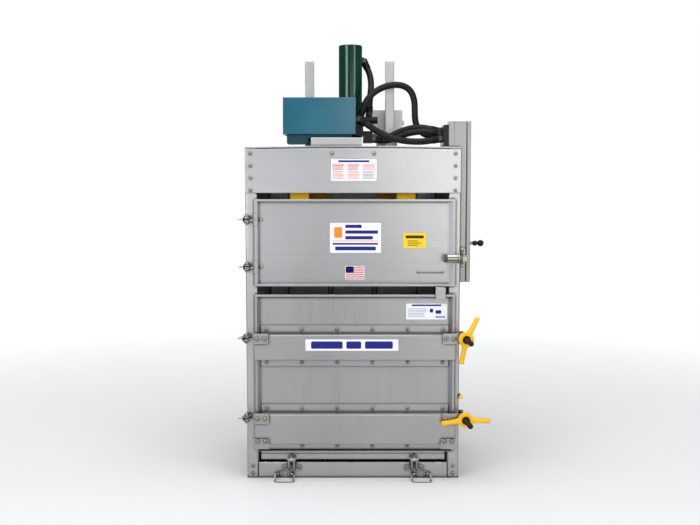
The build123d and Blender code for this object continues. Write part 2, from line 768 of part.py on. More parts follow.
def make_door_pull():
    """A bent wire pull, its legs welded to the loading door's panel."""
    bar_y = panel_front - PULL_REACH
    left = pull_x - PULL_WIDTH / 2
    right = pull_x + PULL_WIDTH / 2
    with BuildPart() as pull:
        with BuildLine():
            FilletPolyline((left, panel_front, PULL_Z), (left, bar_y, PULL_Z), (right, bar_y, PULL_Z),
                           (right, panel_front, PULL_Z), radius=PULL_BEND)
        with BuildSketch(Plane(origin=(left, panel_front, PULL_Z), z_dir=(0, -1, 0))):
            Circle(PULL_WIRE / 2)
        sweep()
    return pull.part


def make_interlock_tab():
    """An angle on the discharge door's rim whose top leg reaches back between the doors."""
    wide = (tab_x - TAB_WIDTH / 2, tab_x + TAB_WIDTH / 2)
    leg = block(wide, (rim_front - THICK_SHEET, rim_front), (TAB_BOTTOM, TAB_TOP))
    top = block(wide, (rim_front - THICK_SHEET, door_back), (TAB_TOP - THICK_SHEET, TAB_TOP))
    tab = leg + top
    outer_bend = tab.edges().filter_by(Axis.X).group_by(Axis.Z)[-1].sort_by(Axis.Y)[0]
    return fillet(outer_bend, BEND)


# Hinges on the frame

def make_hinge_bracket(pin_x, pin_y, level):
    """Two flat lugs welded to the post's front and outer faces, a tail plate and a spacer between them."""
    half_gap = HINGE_LUG_GAP / 2
    bottom = level - half_gap - HINGE_LUG
    top = level + half_gap + HINGE_LUG
    outer = -half_width
    left = pin_x - HINGE_LUG_RADIUS
    right = pin_x + HINGE_LUG_RADIUS
    body = [
        (left, pin_y), (right, pin_y), (right, front), (outer, front), (outer, front + HINGE_WRAP),
        (left, front + HINGE_TAPER),
    ]
    bracket = block((left, outer), (front - HINGE_SPACER, front + HINGE_TAPER), (bottom, top))
    for low, high in ((bottom, level - half_gap), (level + half_gap, top)):
        bracket += prism_z(body, (low, high))
        bracket += rod((pin_x, pin_y, low), (pin_x, pin_y, high), HINGE_LUG_RADIUS)
    root = pin_x - HINGE_EYE_RADIUS - 2 * SLIDING
    tip = pin_x - HINGE_TAIL
    tail_back = pin_y + HINGE_TAIL_BEHIND
    tail = [
        (root, pin_y - HINGE_TAIL_AHEAD), (tip, pin_y - HINGE_TAIL_AHEAD), (tip, tail_back),
        (outer, tail_back + HINGE_TAPER), (outer, front - HINGE_SPACER), (root, front - HINGE_SPACER),
    ]
    bracket += prism_z(tail, (level - HINGE_LUG / 2, level + HINGE_LUG / 2))
    return bracket - drill((pin_x, pin_y, bottom), (pin_x, pin_y, top), HINGE_PIN / 2 + RUNNING)


def hinge_places():
    """Pin X, pin Y and level of all four hinges."""
    places = [(*upper_hinge, level) for level in upper_hinge_levels]
    places += [(*lower_hinge, level) for level in lower_hinge_levels]
    return places


def make_hinge_brackets():
    return Compound(children=[make_hinge_bracket(*place) for place in hinge_places()])


def make_hinge_pins():
    """Pins through the lugs and tongues, each with a round nut and a stub end at top and bottom."""
    pins = []
    for pin_x, pin_y, level in hinge_places():
        half = HINGE_LUG_GAP / 2 + HINGE_LUG
        reach = half + PIN_NUT_HEIGHT + HINGE_LUG
        pin = rod((pin_x, pin_y, level - reach), (pin_x, pin_y, level + reach), HINGE_PIN / 2)
        for sign in (-1, 1):
            seat = level + sign * half
            nut = rod((pin_x, pin_y, seat), (pin_x, pin_y, seat + sign * PIN_NUT_HEIGHT), PIN_NUT)
            outer_edge = nut.edges().filter_by(GeomType.CIRCLE).sort_by(Axis.Z)[0 if sign < 0 else -1]
            pin += chamfer(outer_edge, SCREW_DOME)
        pins.append(pin)
    return Compound(children=pins)


# Clamps of the lower door

def make_clamp_lugs():
    """Paired lugs on the right front post with the pins that the swing bolts turn on."""
    pieces = []
    for level in lower_hinge_levels:
        inner = CLAMP_EYE_HEIGHT / 2 + SLIDING
        for sign in (-1, 1):
            low, high = sorted((level + sign * inner, level + sign * (inner + CLAMP_LUG)))
            lug_y = (clamp_y - CLAMP_EYE / 2, clamp_y + CLAMP_EYE / 2)
            lug = block((half_width, clamp_x), lug_y, (low, high))
            lug += rod((clamp_x, clamp_y, low), (clamp_x, clamp_y, high), CLAMP_EYE / 2)
            lug -= drill((clamp_x, clamp_y, low), (clamp_x, clamp_y, high), CLAMP_PIN / 2 + RUNNING)
            pieces.append(lug)
        ends = inner + CLAMP_LUG
        head_top = level + ends + CLAMP_LUG / 2
        pin = rod((clamp_x, clamp_y, level - ends), (clamp_x, clamp_y, head_top), CLAMP_PIN / 2)
        pin += rod((clamp_x, clamp_y, level + ends), (clamp_x, clamp_y, head_top), PIN_HEAD)
        pieces.append(pin)
    return Compound(children=pieces)


def clamp_point(distance, level):
    """A point on the splayed stud's axis, at a distance from its pivot."""
    angle = radians(CLAMP_SPLAY)
    return (clamp_x + distance * sin(angle), clamp_y - distance * cos(angle), level)


def make_swing_bolt(level):
    """A bolt with a flat eye that turns on the lug pin."""
    half = CLAMP_EYE_HEIGHT / 2
    eye = rod((clamp_x, clamp_y, level - half), (clamp_x, clamp_y, level + half),
              CLAMP_EYE / 2 - SLIDING)
    stud = rod(clamp_point(0, level), clamp_point(CLAMP_STUD_LENGTH, level), CLAMP_STUD / 2)
    tip = stud.edges().filter_by(GeomType.CIRCLE).sort_by(Axis.Y)[0]
    stud = chamfer(tip, SCREW_DOME)
    bore = drill((clamp_x, clamp_y, level - half), (clamp_x, clamp_y, level + half), CLAMP_PIN / 2 + RUNNING)
    return eye + stud - bore


def nut_seat():
    """Distance from the pivot to the hand nut's back face."""
    plate_face = beam_front - LEAF_SHEET
    return (clamp_y - plate_face) / cos(radians(CLAMP_SPLAY)) + NUT_STANDOFF


def make_hand_nut(level, arm_angles):
    """A ring nut with two round arms swept forward, bored to run on the stud."""
    seat = nut_seat()
    origin = clamp_point(seat, level)
    plane = Plane(origin=origin, x_dir=(cos(radians(CLAMP_SPLAY)), sin(radians(CLAMP_SPLAY)), 0),
                  z_dir=(sin(radians(CLAMP_SPLAY)), -cos(radians(CLAMP_SPLAY)), 0))
    ring = Cylinder(NUT_RADIUS, NUT_THICK, align=(Align.CENTER, Align.CENTER, Align.MIN))
    ring = fillet(ring.edges().filter_by(GeomType.CIRCLE), BEND)
    for angle in arm_angles:
        across = cos(radians(angle))
        up = sin(radians(angle))
        rise = NUT_THICK / 2 + SCREW_DOME
        start = (NUT_ARM_ROOT * across, NUT_ARM_ROOT * up, rise)
        end = (NUT_ARM_REACH * across, NUT_ARM_REACH * up, rise + NUT_ARM_FORWARD)
        ring += rod(start, end, NUT_ARM / 2)
    bore = Cylinder(CLAMP_STUD / 2 + RUNNING, 2 * NUT_THICK + 2 * CUT_PAST)
    mouth = Pos(0, 0, NUT_THICK) * Cone(CLAMP_STUD / 2 + RUNNING, CLAMP_STUD / 2 + BEND + RUNNING, 2 * BEND)
    return plane * (ring - bore - mouth)


# Turning latch

def make_latch_bracket():
    """An oval foot on the column's face, a round post and a shouldered pin."""
    foot_y = column_front
    foot = rounded_plate((latch_x, foot_y - LATCH_PLATE / 2, LATCH_Z),
                         (LATCH_PLATE_WIDTH, LATCH_PLATE, LATCH_PLATE_HEIGHT), LATCH_PLATE_CORNER)
    shoulder = latch_y + LATCH_HUB_DEPTH / 2 + SLIDING
    outer = latch_y - LATCH_HUB_DEPTH / 2 - SLIDING
    post = rod((latch_x, foot_y - LATCH_PLATE, LATCH_Z), (latch_x, shoulder, LATCH_Z), LATCH_POST)
    pin = rod((latch_x, shoulder, LATCH_Z), (latch_x, outer, LATCH_Z), LATCH_PIN)
    head = rod((latch_x, outer, LATCH_Z), (latch_x, outer - LATCH_PLATE, LATCH_Z), LATCH_POST)
    return foot + post + pin + head


def make_latch_lever():
    """Hub, neck, collar, ridged barrel and round grip, lying across the door's rim."""
    half = LATCH_HUB_DEPTH / 2
    hub_back = (latch_x, latch_y + half, LATCH_Z)
    hub_front = (latch_x, latch_y - half, LATCH_Z)
    hub = rod(hub_back, hub_front, LATCH_HUB) - drill(hub_back, hub_front, LATCH_PIN + RUNNING)
    collar_right = latch_x - LATCH_NECK_LENGTH
    barrel_right = collar_right - LATCH_COLLAR_LENGTH
    barrel_left = barrel_right - LATCH_BARREL_LENGTH
    knob_left = barrel_left - LATCH_KNOB_LENGTH
    lever = hub
    lever += rod((latch_x - LATCH_NECK_ROOT, latch_y, LATCH_Z), (collar_right, latch_y, LATCH_Z), LATCH_NECK)
    lever += rod((collar_right, latch_y, LATCH_Z), (barrel_right, latch_y, LATCH_Z), LATCH_COLLAR)
    barrel = rod((barrel_right, latch_y, LATCH_Z), (barrel_left, latch_y, LATCH_Z), LATCH_BARREL)
    for offset in (-LATCH_GROOVE_SPREAD, LATCH_GROOVE_SPREAD):
        groove_z = (LATCH_Z + offset - LATCH_GROOVE / 2, LATCH_Z + offset + LATCH_GROOVE / 2)
        groove_y = (latch_y - 2 * LATCH_BARREL, latch_y - LATCH_GROOVE_FLOOR)
        barrel -= block((barrel_left, barrel_right), groove_y, groove_z)
    knob = rod((barrel_left, latch_y, LATCH_Z), (knob_left, latch_y, LATCH_Z), LATCH_KNOB)
    knob = fillet(knob.edges().filter_by(GeomType.CIRCLE).sort_by(Axis.X)[0], BEND)
    return lever + barrel + knob


# Pull pin

def pull_pin_axis():
    x = half_width + PULL_PIN_OFFSET
    return x, PULL_PIN_Z


def make_pull_pin_sleeve():
    x, z = pull_pin_axis()
    deep = (front, front + PULL_PIN_SLEEVE_LENGTH)
    sleeve = tube((x, deep[0], z), (x, deep[1], z), PULL_PIN_SLEEVE, PULL_PIN_ROD + RUNNING)
    weld = block((half_width, x - PULL_PIN_ROD - RUNNING), deep, (z - SHEET, z + SHEET))
    return sleeve + weld - drill((x, deep[0], z), (x, deep[1], z), PULL_PIN_ROD + RUNNING)


def make_pull_pin():
    """A round pin with a ball knob that is pulled towards the operator."""
    x, z = pull_pin_axis()
    ball_y = front - PULL_PIN_BALL - SLIDING
    pin = rod((x, ball_y, z), (x, front + POST_SIZE, z), PULL_PIN_ROD)
    return pin + Pos(x, ball_y, z) * Sphere(PULL_PIN_BALL)


# Tipping floor

def floor_rib_places():
    pitch = 2 * (floor_half - FLOOR_RIB_INSET) / (FLOOR_RIBS - 1)
    return [(index - (FLOOR_RIBS - 1) / 2) * pitch for index in range(FLOOR_RIBS)]


def make_tipping_floor():
    """A flat floor with a stepped front lip, ribs that stand on the base and two hinge tongues."""
    wide = (-floor_half, floor_half)
    floor = block(wide, (lip_y, floor_back), (FLOOR_TOP - THICK_SHEET, FLOOR_TOP))
    lip_middle = (FLOOR_TOP + FLOOR_LIP_BOTTOM) / 2
    floor += block(wide, (lip_y, lip_y + THICK_SHEET), (lip_middle, FLOOR_TOP))
    floor += block(wide, (lip_y - SHEET, lip_y + SHEET), (FLOOR_LIP_BOTTOM, lip_middle + SHEET))
    rib_y = (lip_y + FLOOR_RIB_SETBACK, floor_back - FLOOR_BACK_CLEAR)
    rib_z = (BASE_PLATE + SLIDING, FLOOR_TOP - THICK_SHEET)
    for x in floor_rib_places():
        floor += block((x - FLOOR_RIB / 2, x + FLOOR_RIB / 2), rib_y, rib_z)
    pin_y = front - CLEVIS_PIN_REACH
    for side in (-1, 1):
        x = side * clevis_x
        sides = (x - CLEVIS_TONGUE / 2, x + CLEVIS_TONGUE / 2)
        tongue = block(sides, (pin_y, lip_y - SHEET), (CLEVIS_PIN_Z - CLEVIS_PIN, CLEVIS_PIN_Z + CLEVIS_PIN))
        tongue += rod((sides[0], pin_y, CLEVIS_PIN_Z), (sides[1], pin_y, CLEVIS_PIN_Z), CLEVIS_PIN)
        bore = CLEVIS_PIN / 2 + RUNNING
        tongue -= drill((sides[0], pin_y, CLEVIS_PIN_Z), (sides[1], pin_y, CLEVIS_PIN_Z), bore)
        floor += tongue
    return floor


def make_floor_clevises():
    """Oval foot plates on the base panel, each with two cheeks, and the cross pins with washers."""
    pieces = []
    pin_y = front - CLEVIS_PIN_REACH
    inner = CLEVIS_TONGUE / 2 + SLIDING
    ends = inner + CLEVIS_CHEEK
    bottom = CLEVIS_PLATE_Z - CLEVIS_PLATE_HEIGHT / 2
    cheek = [
        (front, bottom), (front, BASE_PANEL_TOP), (pin_y + CLEVIS_PIN, CLEVIS_PIN_Z + CLEVIS_SHOULDER),
        (pin_y, CLEVIS_PIN_Z + CLEVIS_PIN), (pin_y - CLEVIS_PIN, CLEVIS_PIN_Z), (pin_y, CLEVIS_PLATE_Z),
    ]
    for side in (-1, 1):
        x = side * clevis_x
        clevis = rounded_plate((x, front - HANDLE_PLATE / 2, CLEVIS_PLATE_Z),
                               (CLEVIS_PLATE_WIDTH, HANDLE_PLATE, CLEVIS_PLATE_HEIGHT),
                               CLEVIS_PLATE_HEIGHT / 2 - SLIDING)
        for sign in (-1, 1):
            clevis += prism_x(cheek, sorted((x + sign * inner, x + sign * ends)))
        bore = CLEVIS_PIN / 2 + RUNNING
        clevis -= drill((x - ends, pin_y, CLEVIS_PIN_Z), (x + ends, pin_y, CLEVIS_PIN_Z), bore)
        pieces.append(clevis)
        reach = ends + CLEVIS_PIN_END
        pin = rod((x - reach, pin_y, CLEVIS_PIN_Z), (x + reach, pin_y, CLEVIS_PIN_Z), CLEVIS_PIN / 2)
        for sign in (-1, 1):
            face = (x + sign * ends, pin_y, CLEVIS_PIN_Z)
            pin += rod(face, (face[0] + sign * CLEVIS_PIN_END / 2, pin_y, CLEVIS_PIN_Z), CLEVIS_WASHER)
        pieces.append(pin)
    return Compound(children=pieces)


# Drop handles

def bail_axis_y():
    return front - HANDLE_PLATE - BAIL_BARREL / 2 + SEAM


def make_handle_plates():
    """Handle plates with two round barrels that carry the bail's ends."""
    pieces = []
    for side in (-1, 1):
        x = side * handle_x
        centre = (x, front - HANDLE_PLATE / 2, (HANDLE_PLATE_TOP + HANDLE_PLATE_BOTTOM) / 2)
        size = (HANDLE_PLATE_WIDTH, HANDLE_PLATE, HANDLE_PLATE_TOP - HANDLE_PLATE_BOTTOM)
        plate = rounded_plate(centre, size, BEND)
        ends = (x - HANDLE_PLATE_WIDTH / 2, x + HANDLE_PLATE_WIDTH / 2)
        axis_y = bail_axis_y()
        for end, inward in ((ends[0], 1), (ends[1], -1)):
            start = (end, axis_y, BAIL_PIVOT_Z)
            stop = (end + inward * BAIL_BARREL_LENGTH, axis_y, BAIL_PIVOT_Z)
            plate += rod(start, stop, BAIL_BARREL / 2)
            plate -= drill(start, stop, BAIL_WIRE / 2 + RUNNING)
        pieces.append(plate)
    return Compound(children=pieces)


def bail_direction():
    """Direction of a bail's legs at rest, when its bar lies on the ground in front."""
    drop = (BAIL_PIVOT_Z - BAIL_WIRE / 2 - BAIL_GROUND) / BAIL_LEG
    return -sqrt(1 - drop * drop), -drop


def make_bail(side):
    """A round-wire bail whose turned-in ends sit in the handle plate's barrels."""
    x = side * handle_x
    across, down = bail_direction()
    axis_y = bail_axis_y()
    far_y = axis_y + BAIL_LEG * across
    far_z = BAIL_PIVOT_Z + BAIL_LEG * down
    left = x - BAIL_WIDTH / 2
    right = x + BAIL_WIDTH / 2
    inner = HANDLE_PLATE_WIDTH / 2 - BAIL_BARREL_LENGTH + SEAM
    points = [
        (x - inner, axis_y, BAIL_PIVOT_Z), (left, axis_y, BAIL_PIVOT_Z), (left, far_y, far_z),
        (right, far_y, far_z), (right, axis_y, BAIL_PIVOT_Z), (x + inner, axis_y, BAIL_PIVOT_Z),
    ]
    with BuildPart() as bail:
        with BuildLine():
            FilletPolyline(*points, radius=[BAIL_END_BEND, BAIL_BEND, BAIL_BEND, BAIL_END_BEND])
        with BuildSketch(Plane(origin=points[0], z_dir=(-1, 0, 0))):
            Circle(BAIL_WIRE / 2)
        sweep()
    return bail.part


# Crosshead and cylinder

def make_crosshead_beams():
    """Two channels from side wall to side wall, under the crosshead plate."""
    top = deck - CROSSHEAD_PLATE
    beams = []
    for sign in (-1, 1):
        web = sign * CROSSHEAD_SPREAD
        edge = sign * (CROSSHEAD_SPREAD + CROSSHEAD_FLANGE)
        step = sign * BEAM_SHEET
        outline = [
            (web, top), (edge, top), (edge, top - BEAM_SHEET), (web + step, top - BEAM_SHEET),
            (web + step, top - CROSSHEAD_HEIGHT + BEAM_SHEET), (edge, top - CROSSHEAD_HEIGHT + BEAM_SHEET),
            (edge, top - CROSSHEAD_HEIGHT), (web, top - CROSSHEAD_HEIGHT),
        ]
        beams.append(prism_x(outline, (-opening_half, opening_half)))
    return beams


def make_crosshead_plate():
    """The plate that carries the cylinder, bored for the rod and cut for the guide posts."""
    reach = GUIDE_SPREAD + GUIDE_SIZE * 2
    depth = CROSSHEAD_SPREAD + CROSSHEAD_FLANGE
    zs = (deck - CROSSHEAD_PLATE, deck)
    plate = block((RAM_X - reach, RAM_X + reach), (-depth, depth), zs)
    plate -= drill((RAM_X, 0, zs[0]), (RAM_X, 0, zs[1]), ROD_RADIUS + STEP_CLEAR)
    hole = GUIDE_SIZE + 2 * GUIDE_COLLAR
    for x in guide_xs:
        plate -= centred_block((x, 0, deck), (hole, hole, 4 * CROSSHEAD_PLATE))
    return plate


def make_guide_collars():
    """Square collars, let into the crosshead plate, that the guide posts slide in."""
    collars = []
    bore = GUIDE_SIZE + 2 * SLIDING
    outer = GUIDE_SIZE + 2 * GUIDE_COLLAR
    for x in guide_xs:
        zs = (deck - GUIDE_COLLAR_LENGTH, deck)
        middle = (zs[0] + zs[1]) / 2
        collar = centred_block((x, 0, middle), (outer, outer, GUIDE_COLLAR_LENGTH))
        collar -= centred_block((x, 0, middle), (bore, bore, GUIDE_COLLAR_LENGTH * 2))
        collars.append(collar)
    return collars


def barrel_bottom():
    return deck + CYLINDER_FLANGE_THICK


def make_cylinder_flange():
    """The square foot flange that bolts the cylinder to the crosshead plate, with the rod gland."""
    zs = (deck, barrel_bottom())
    wide = (RAM_X - CYLINDER_FLANGE, RAM_X + CYLINDER_FLANGE)
    flange = block(wide, (-CYLINDER_FLANGE, CYLINDER_FLANGE), zs)
    gland = rod((RAM_X, 0, zs[1]), (RAM_X, 0, zs[1] + GLAND_LENGTH), CYLINDER_RADIUS - CYLINDER_WALL)
    bore = drill((RAM_X, 0, zs[0]), (RAM_X, 0, zs[1] + GLAND_LENGTH), ROD_RADIUS + RUNNING)
    return flange + gland - bore


def port_point(distance):
    """A point on the cylinder port's axis, at a distance from the cylinder's axis."""
    angle = radians(PORT_ANGLE)
    return (RAM_X + distance * cos(angle), distance * sin(angle), port_z)


def make_cylinder_barrel():
    """The barrel with a short welded port boss near its top."""
    bottom = barrel_bottom()
    top = CYLINDER_TOP - CYLINDER_CAP
    barrel = rod((RAM_X, 0, bottom), (RAM_X, 0, top), CYLINDER_RADIUS)
    barrel += rod(port_point(0), port_point(CYLINDER_RADIUS + PORT_BOSS), PORT_RADIUS)
    return barrel - drill((RAM_X, 0, bottom), (RAM_X, 0, top), CYLINDER_RADIUS - CYLINDER_WALL)


def make_cylinder_cap():
    """The welded end cap with a chamfered crown and a weld groove at its foot."""
    cap = rod((RAM_X, 0, CYLINDER_TOP - CYLINDER_CAP), (RAM_X, 0, CYLINDER_TOP), CYLINDER_RADIUS)
    crown = cap.edges().filter_by(GeomType.CIRCLE).sort_by(Axis.Z)[-1]
    cap = chamfer(crown, SHEET)
    foot = cap.edges().filter_by(GeomType.CIRCLE).sort_by(Axis.Z)[0]
    return chamfer(foot, SHEET / 2)


# Ram

def make_piston_rod():
    """Rod with its piston drawn up inside the cylinder."""
    top = CYLINDER_TOP - CYLINDER_CAP - STEP_CLEAR
    underside = top - PISTON_LENGTH
    piston = rod((RAM_X, 0, underside), (RAM_X, 0, top), CYLINDER_RADIUS - CYLINDER_WALL - RUNNING)
    foot = PLATEN_BOTTOM + PLATEN_SHEET + ROD_BLOCK_HEIGHT
    return piston + rod((RAM_X, 0, foot), (RAM_X, 0, underside), ROD_RADIUS)


def make_guide_posts():
    """Square tubes that rise from the platen through the collars."""
    posts = []
    inner = GUIDE_SIZE - 2 * GUIDE_WALL
    foot = PLATEN_BOTTOM + PLATEN_SHEET
    for x in guide_xs:
        section = RectangleRounded(GUIDE_SIZE, GUIDE_SIZE, GUIDE_WALL)
        section -= Rectangle(inner, inner)
        post = extrude(Plane((x, 0, foot)) * section, amount=guide_top - foot - GUIDE_WALL)
        lid = RectangleRounded(GUIDE_SIZE, GUIDE_SIZE, GUIDE_WALL)
        cap = extrude(Plane((x, 0, guide_top - GUIDE_WALL)) * lid, amount=GUIDE_WALL)
        posts.append(post + cap)
    return Compound(children=posts)


def make_platen():
    """The pressing plate with its edges turned up."""
    wide = (-platen_half, platen_half)
    deep = (front + PLATEN_CLEAR, back_rib_face - PLATEN_CLEAR)
    plate = block(wide, deep, (PLATEN_BOTTOM, PLATEN_BOTTOM + PLATEN_SKIRT))
    inside = (wide[0] + THICK_SHEET, wide[1] - THICK_SHEET)
    inside_deep = (deep[0] + THICK_SHEET, deep[1] - THICK_SHEET)
    plate -= block(inside, inside_deep, (PLATEN_BOTTOM + PLATEN_SHEET, PLATEN_BOTTOM + PLATEN_SKIRT))
    lower = plate.edges().filter_by(Axis.X).group_by(Axis.Z)[0]
    return fillet(lower, SHEET)


def make_ram_channels():
    """Inverted channels that stiffen the platen from front to back, notched round the guide posts."""
    channels = []
    low = PLATEN_BOTTOM + PLATEN_SHEET
    high = low + CHANNEL_HEIGHT
    deep = (front + PLATEN_CLEAR + BEAM_FLANGE, back_rib_face - PLATEN_CLEAR - BEAM_FLANGE)
    inside = (deep[0] + CHANNEL_SHEET, deep[1] - CHANNEL_SHEET)
    notch = GUIDE_SIZE + 2 * SEAM
    for sign in (-1, 1):
        left, right = sorted((sign * CHANNEL_OUTER, sign * (CHANNEL_OUTER - CHANNEL_WIDTH)))
        channel = block((left, right), deep, (low, high))
        channel -= block((left + CHANNEL_SHEET, right - CHANNEL_SHEET), inside, (low, high - CHANNEL_SHEET))
        for x in guide_xs:
            channel -= centred_block((x, 0, high), (notch, notch, 4 * CHANNEL_HEIGHT))
        channels.append(channel)
    return channels


def make_ram_cross_bars():
    """Round bars that tie the channels to the rod block, in front of the guide posts."""
    bars = []
    y = -GUIDE_SIZE / 2 - CROSS_BAR - SEAM
    z = PLATEN_BOTTOM + PLATEN_SHEET + CROSS_BAR
    for sign in (-1, 1):
        outer = sign * (CHANNEL_OUTER - CHANNEL_WIDTH)
        inner = sign * ROD_BLOCK_WIDTH / 2
        bars.append(rod((outer, y, z), (inner, y, z), CROSS_BAR))
    return bars


def make_rod_block():
    """The block on the platen that takes the rod's foot."""
    low = PLATEN_BOTTOM + PLATEN_SHEET
    size = (ROD_BLOCK_WIDTH, ROD_BLOCK_DEPTH, ROD_BLOCK_HEIGHT)
    piece = centred_block((0, 0, low + ROD_BLOCK_HEIGHT / 2), size)
    return chamfer(piece.edges().group_by(Axis.Z)[-1], BEND)


# Power unit

def make_tank():
    """A sheet tank, its floor open over the tray."""
    tank = block((TANK_LEFT, TANK_RIGHT), (TANK_FRONT, TANK_BACK), (TANK_BOTTOM, TANK_TOP))
    tank = fillet(tank.edges().filter_by(Axis.Z) + tank.edges().group_by(Axis.Z)[-1], SHEET)
    tank -= block((TANK_LEFT + SHEET, TANK_RIGHT - SHEET), (TANK_FRONT + SHEET, TANK_BACK - SHEET),
                  (TANK_BOTTOM + SHEET, TANK_TOP - SHEET))
    window = 2 * TANK_INSET
    return tank - block((TANK_LEFT + window, TANK_RIGHT - window), (TANK_FRONT + window, TANK_BACK - window),
                        (TANK_BOTTOM, TANK_BOTTOM + SHEET))


def make_unit_tray():
    """A stepped tray under the tank, deeper at its left end."""
    left = TANK_LEFT + TANK_INSET
    right = TANK_RIGHT - TANK_INSET
    deep = (TANK_FRONT + TANK_INSET, TANK_BACK - TANK_INSET)
    tray = block((left, right), deep, (BRACKET_TOP, TANK_BOTTOM))
    tray += block((left, SUMP_RIGHT), deep, (SUMP_BOTTOM, TANK_BOTTOM))
    inside = (deep[0] + SHEET, deep[1] - SHEET)
    tray -= block((left + SHEET, right - SHEET), inside, (BRACKET_TOP + SHEET, TANK_BOTTOM))
    return tray - block((left + SHEET, SUMP_RIGHT - SHEET), inside, (SUMP_BOTTOM + SHEET, TANK_BOTTOM))


def make_unit_bracket():
    """A folded saddle on the roof that carries the power unit."""
    wide = (BRACKET_LEFT, BRACKET_RIGHT)
    saddle = block(wide, (BRACKET_FRONT, TANK_BACK), (roof_peak, BRACKET_TOP))
    inside = (BRACKET_FRONT + THICK_SHEET, TANK_BACK - THICK_SHEET)
    saddle -= block(wide, inside, (roof_peak, BRACKET_TOP - THICK_SHEET))
    return fillet(saddle.edges().filter_by(Axis.X).group_by(Axis.Z)[-1], SHEET)


def make_pump():
    """Pump block on the tank's right side, with its lower manifold and a round solenoid."""
    right = TANK_RIGHT + PUMP_WIDTH
    body = block((TANK_RIGHT, right), (PUMP_FRONT, TANK_BACK), (PUMP_BOTTOM, PUMP_TOP))
    body = chamfer(body.edges().group_by(Axis.Z)[-1], SHEET)
    manifold_z = (MANIFOLD_BOTTOM, MANIFOLD_TOP)
    body += block((right, right + MANIFOLD_WIDTH), (PUMP_FRONT, MANIFOLD_BACK), manifold_z)
    solenoid = rod((right, SOLENOID_Y, SOLENOID_Z), (right + SOLENOID_LENGTH, SOLENOID_Y, SOLENOID_Z),
                   SOLENOID_RADIUS)
    seat_x = routes["pressure_hose"][-1][0]
    seat_z = (SOLENOID_Z + SOLENOID_SEAT_TOP) / 2
    seat = centred_block((seat_x, SOLENOID_Y, seat_z),
                         (SOLENOID_SEAT, SOLENOID_SEAT, SOLENOID_SEAT_TOP - SOLENOID_Z))
    return body + solenoid + seat


def make_junction_box():
    """A box open to the front, its lid and a cable gland on its right side."""
    deep = (JUNCTION_FRONT + SHEET, JUNCTION_FRONT + JUNCTION_DEPTH)
    wide = (JUNCTION_LEFT, JUNCTION_RIGHT)
    tall = (JUNCTION_BOTTOM, JUNCTION_TOP)
    box = block(wide, deep, tall)
    box = fillet(box.edges().filter_by(Axis.Z).group_by(Axis.Y)[-1], SHEET)
    inner_z = (tall[0] + SHEET, tall[1] - SHEET)
    box -= block((wide[0] + SHEET, wide[1] - SHEET), (deep[0], deep[1] - SHEET), inner_z)
    lid = block(wide, (JUNCTION_FRONT, JUNCTION_FRONT + SHEET), tall)
    lid = fillet(lid.edges().filter_by(Axis.Y), SHEET)
    y = (deep[0] + deep[1]) / 2
    z = (tall[0] + tall[1]) / 2
    box += rod((JUNCTION_RIGHT, y, z), (JUNCTION_RIGHT + HINGE_PIN, y, z), HINGE_PIN)
    return Compound(children=[box, lid])


def make_junction_stand():
    """A folded stand between the roof and the junction box."""
    inset = JUNCTION_DEPTH / 4
    wide = (JUNCTION_LEFT + inset, JUNCTION_RIGHT - inset)
    deep = (JUNCTION_FRONT + inset, JUNCTION_FRONT + JUNCTION_DEPTH - inset)
    foot = roof_height(wide[0])
    stand = block(wide, deep, (foot, JUNCTION_BOTTOM))
    inside = (deep[0] + THICK_SHEET, deep[1] - THICK_SHEET)
    return stand - block(wide, inside, (foot, JUNCTION_BOTTOM - THICK_SHEET))


# Control column

def make_control_column():
    """A folded column outside the side wall: its lips leave the outer side open to the cover strip."""
    deep = (column_front, column_front + COLUMN_DEPTH)
    column = block((column_left, column_right), deep, (COLUMN_BOTTOM, COLUMN_TOP))
    column = fillet(column.edges().filter_by(Axis.Z).group_by(Axis.Y)[0].sort_by(Axis.X)[-1], SHEET)
    column -= block((column_left + SHEET, column_right - SHEET), (deep[0] + SHEET, deep[1] - SHEET),
                    (COLUMN_BOTTOM + SHEET, COLUMN_TOP - SHEET))
    column -= block((column_right - SHEET, column_right), (deep[0] + COLUMN_LIP, deep[1] - COLUMN_LIP),
                    (COLUMN_BOTTOM + COLUMN_LIP, COLUMN_TOP - COLUMN_LIP))
    seam_x = column_left + COLUMN_SEAM
    groove_y = (column_front, column_front + COLUMN_GROOVE_DEPTH)
    return column - block((seam_x, seam_x + COLUMN_GROOVE), groove_y, (roof_peak + STEP_CLEAR, COLUMN_TOP))


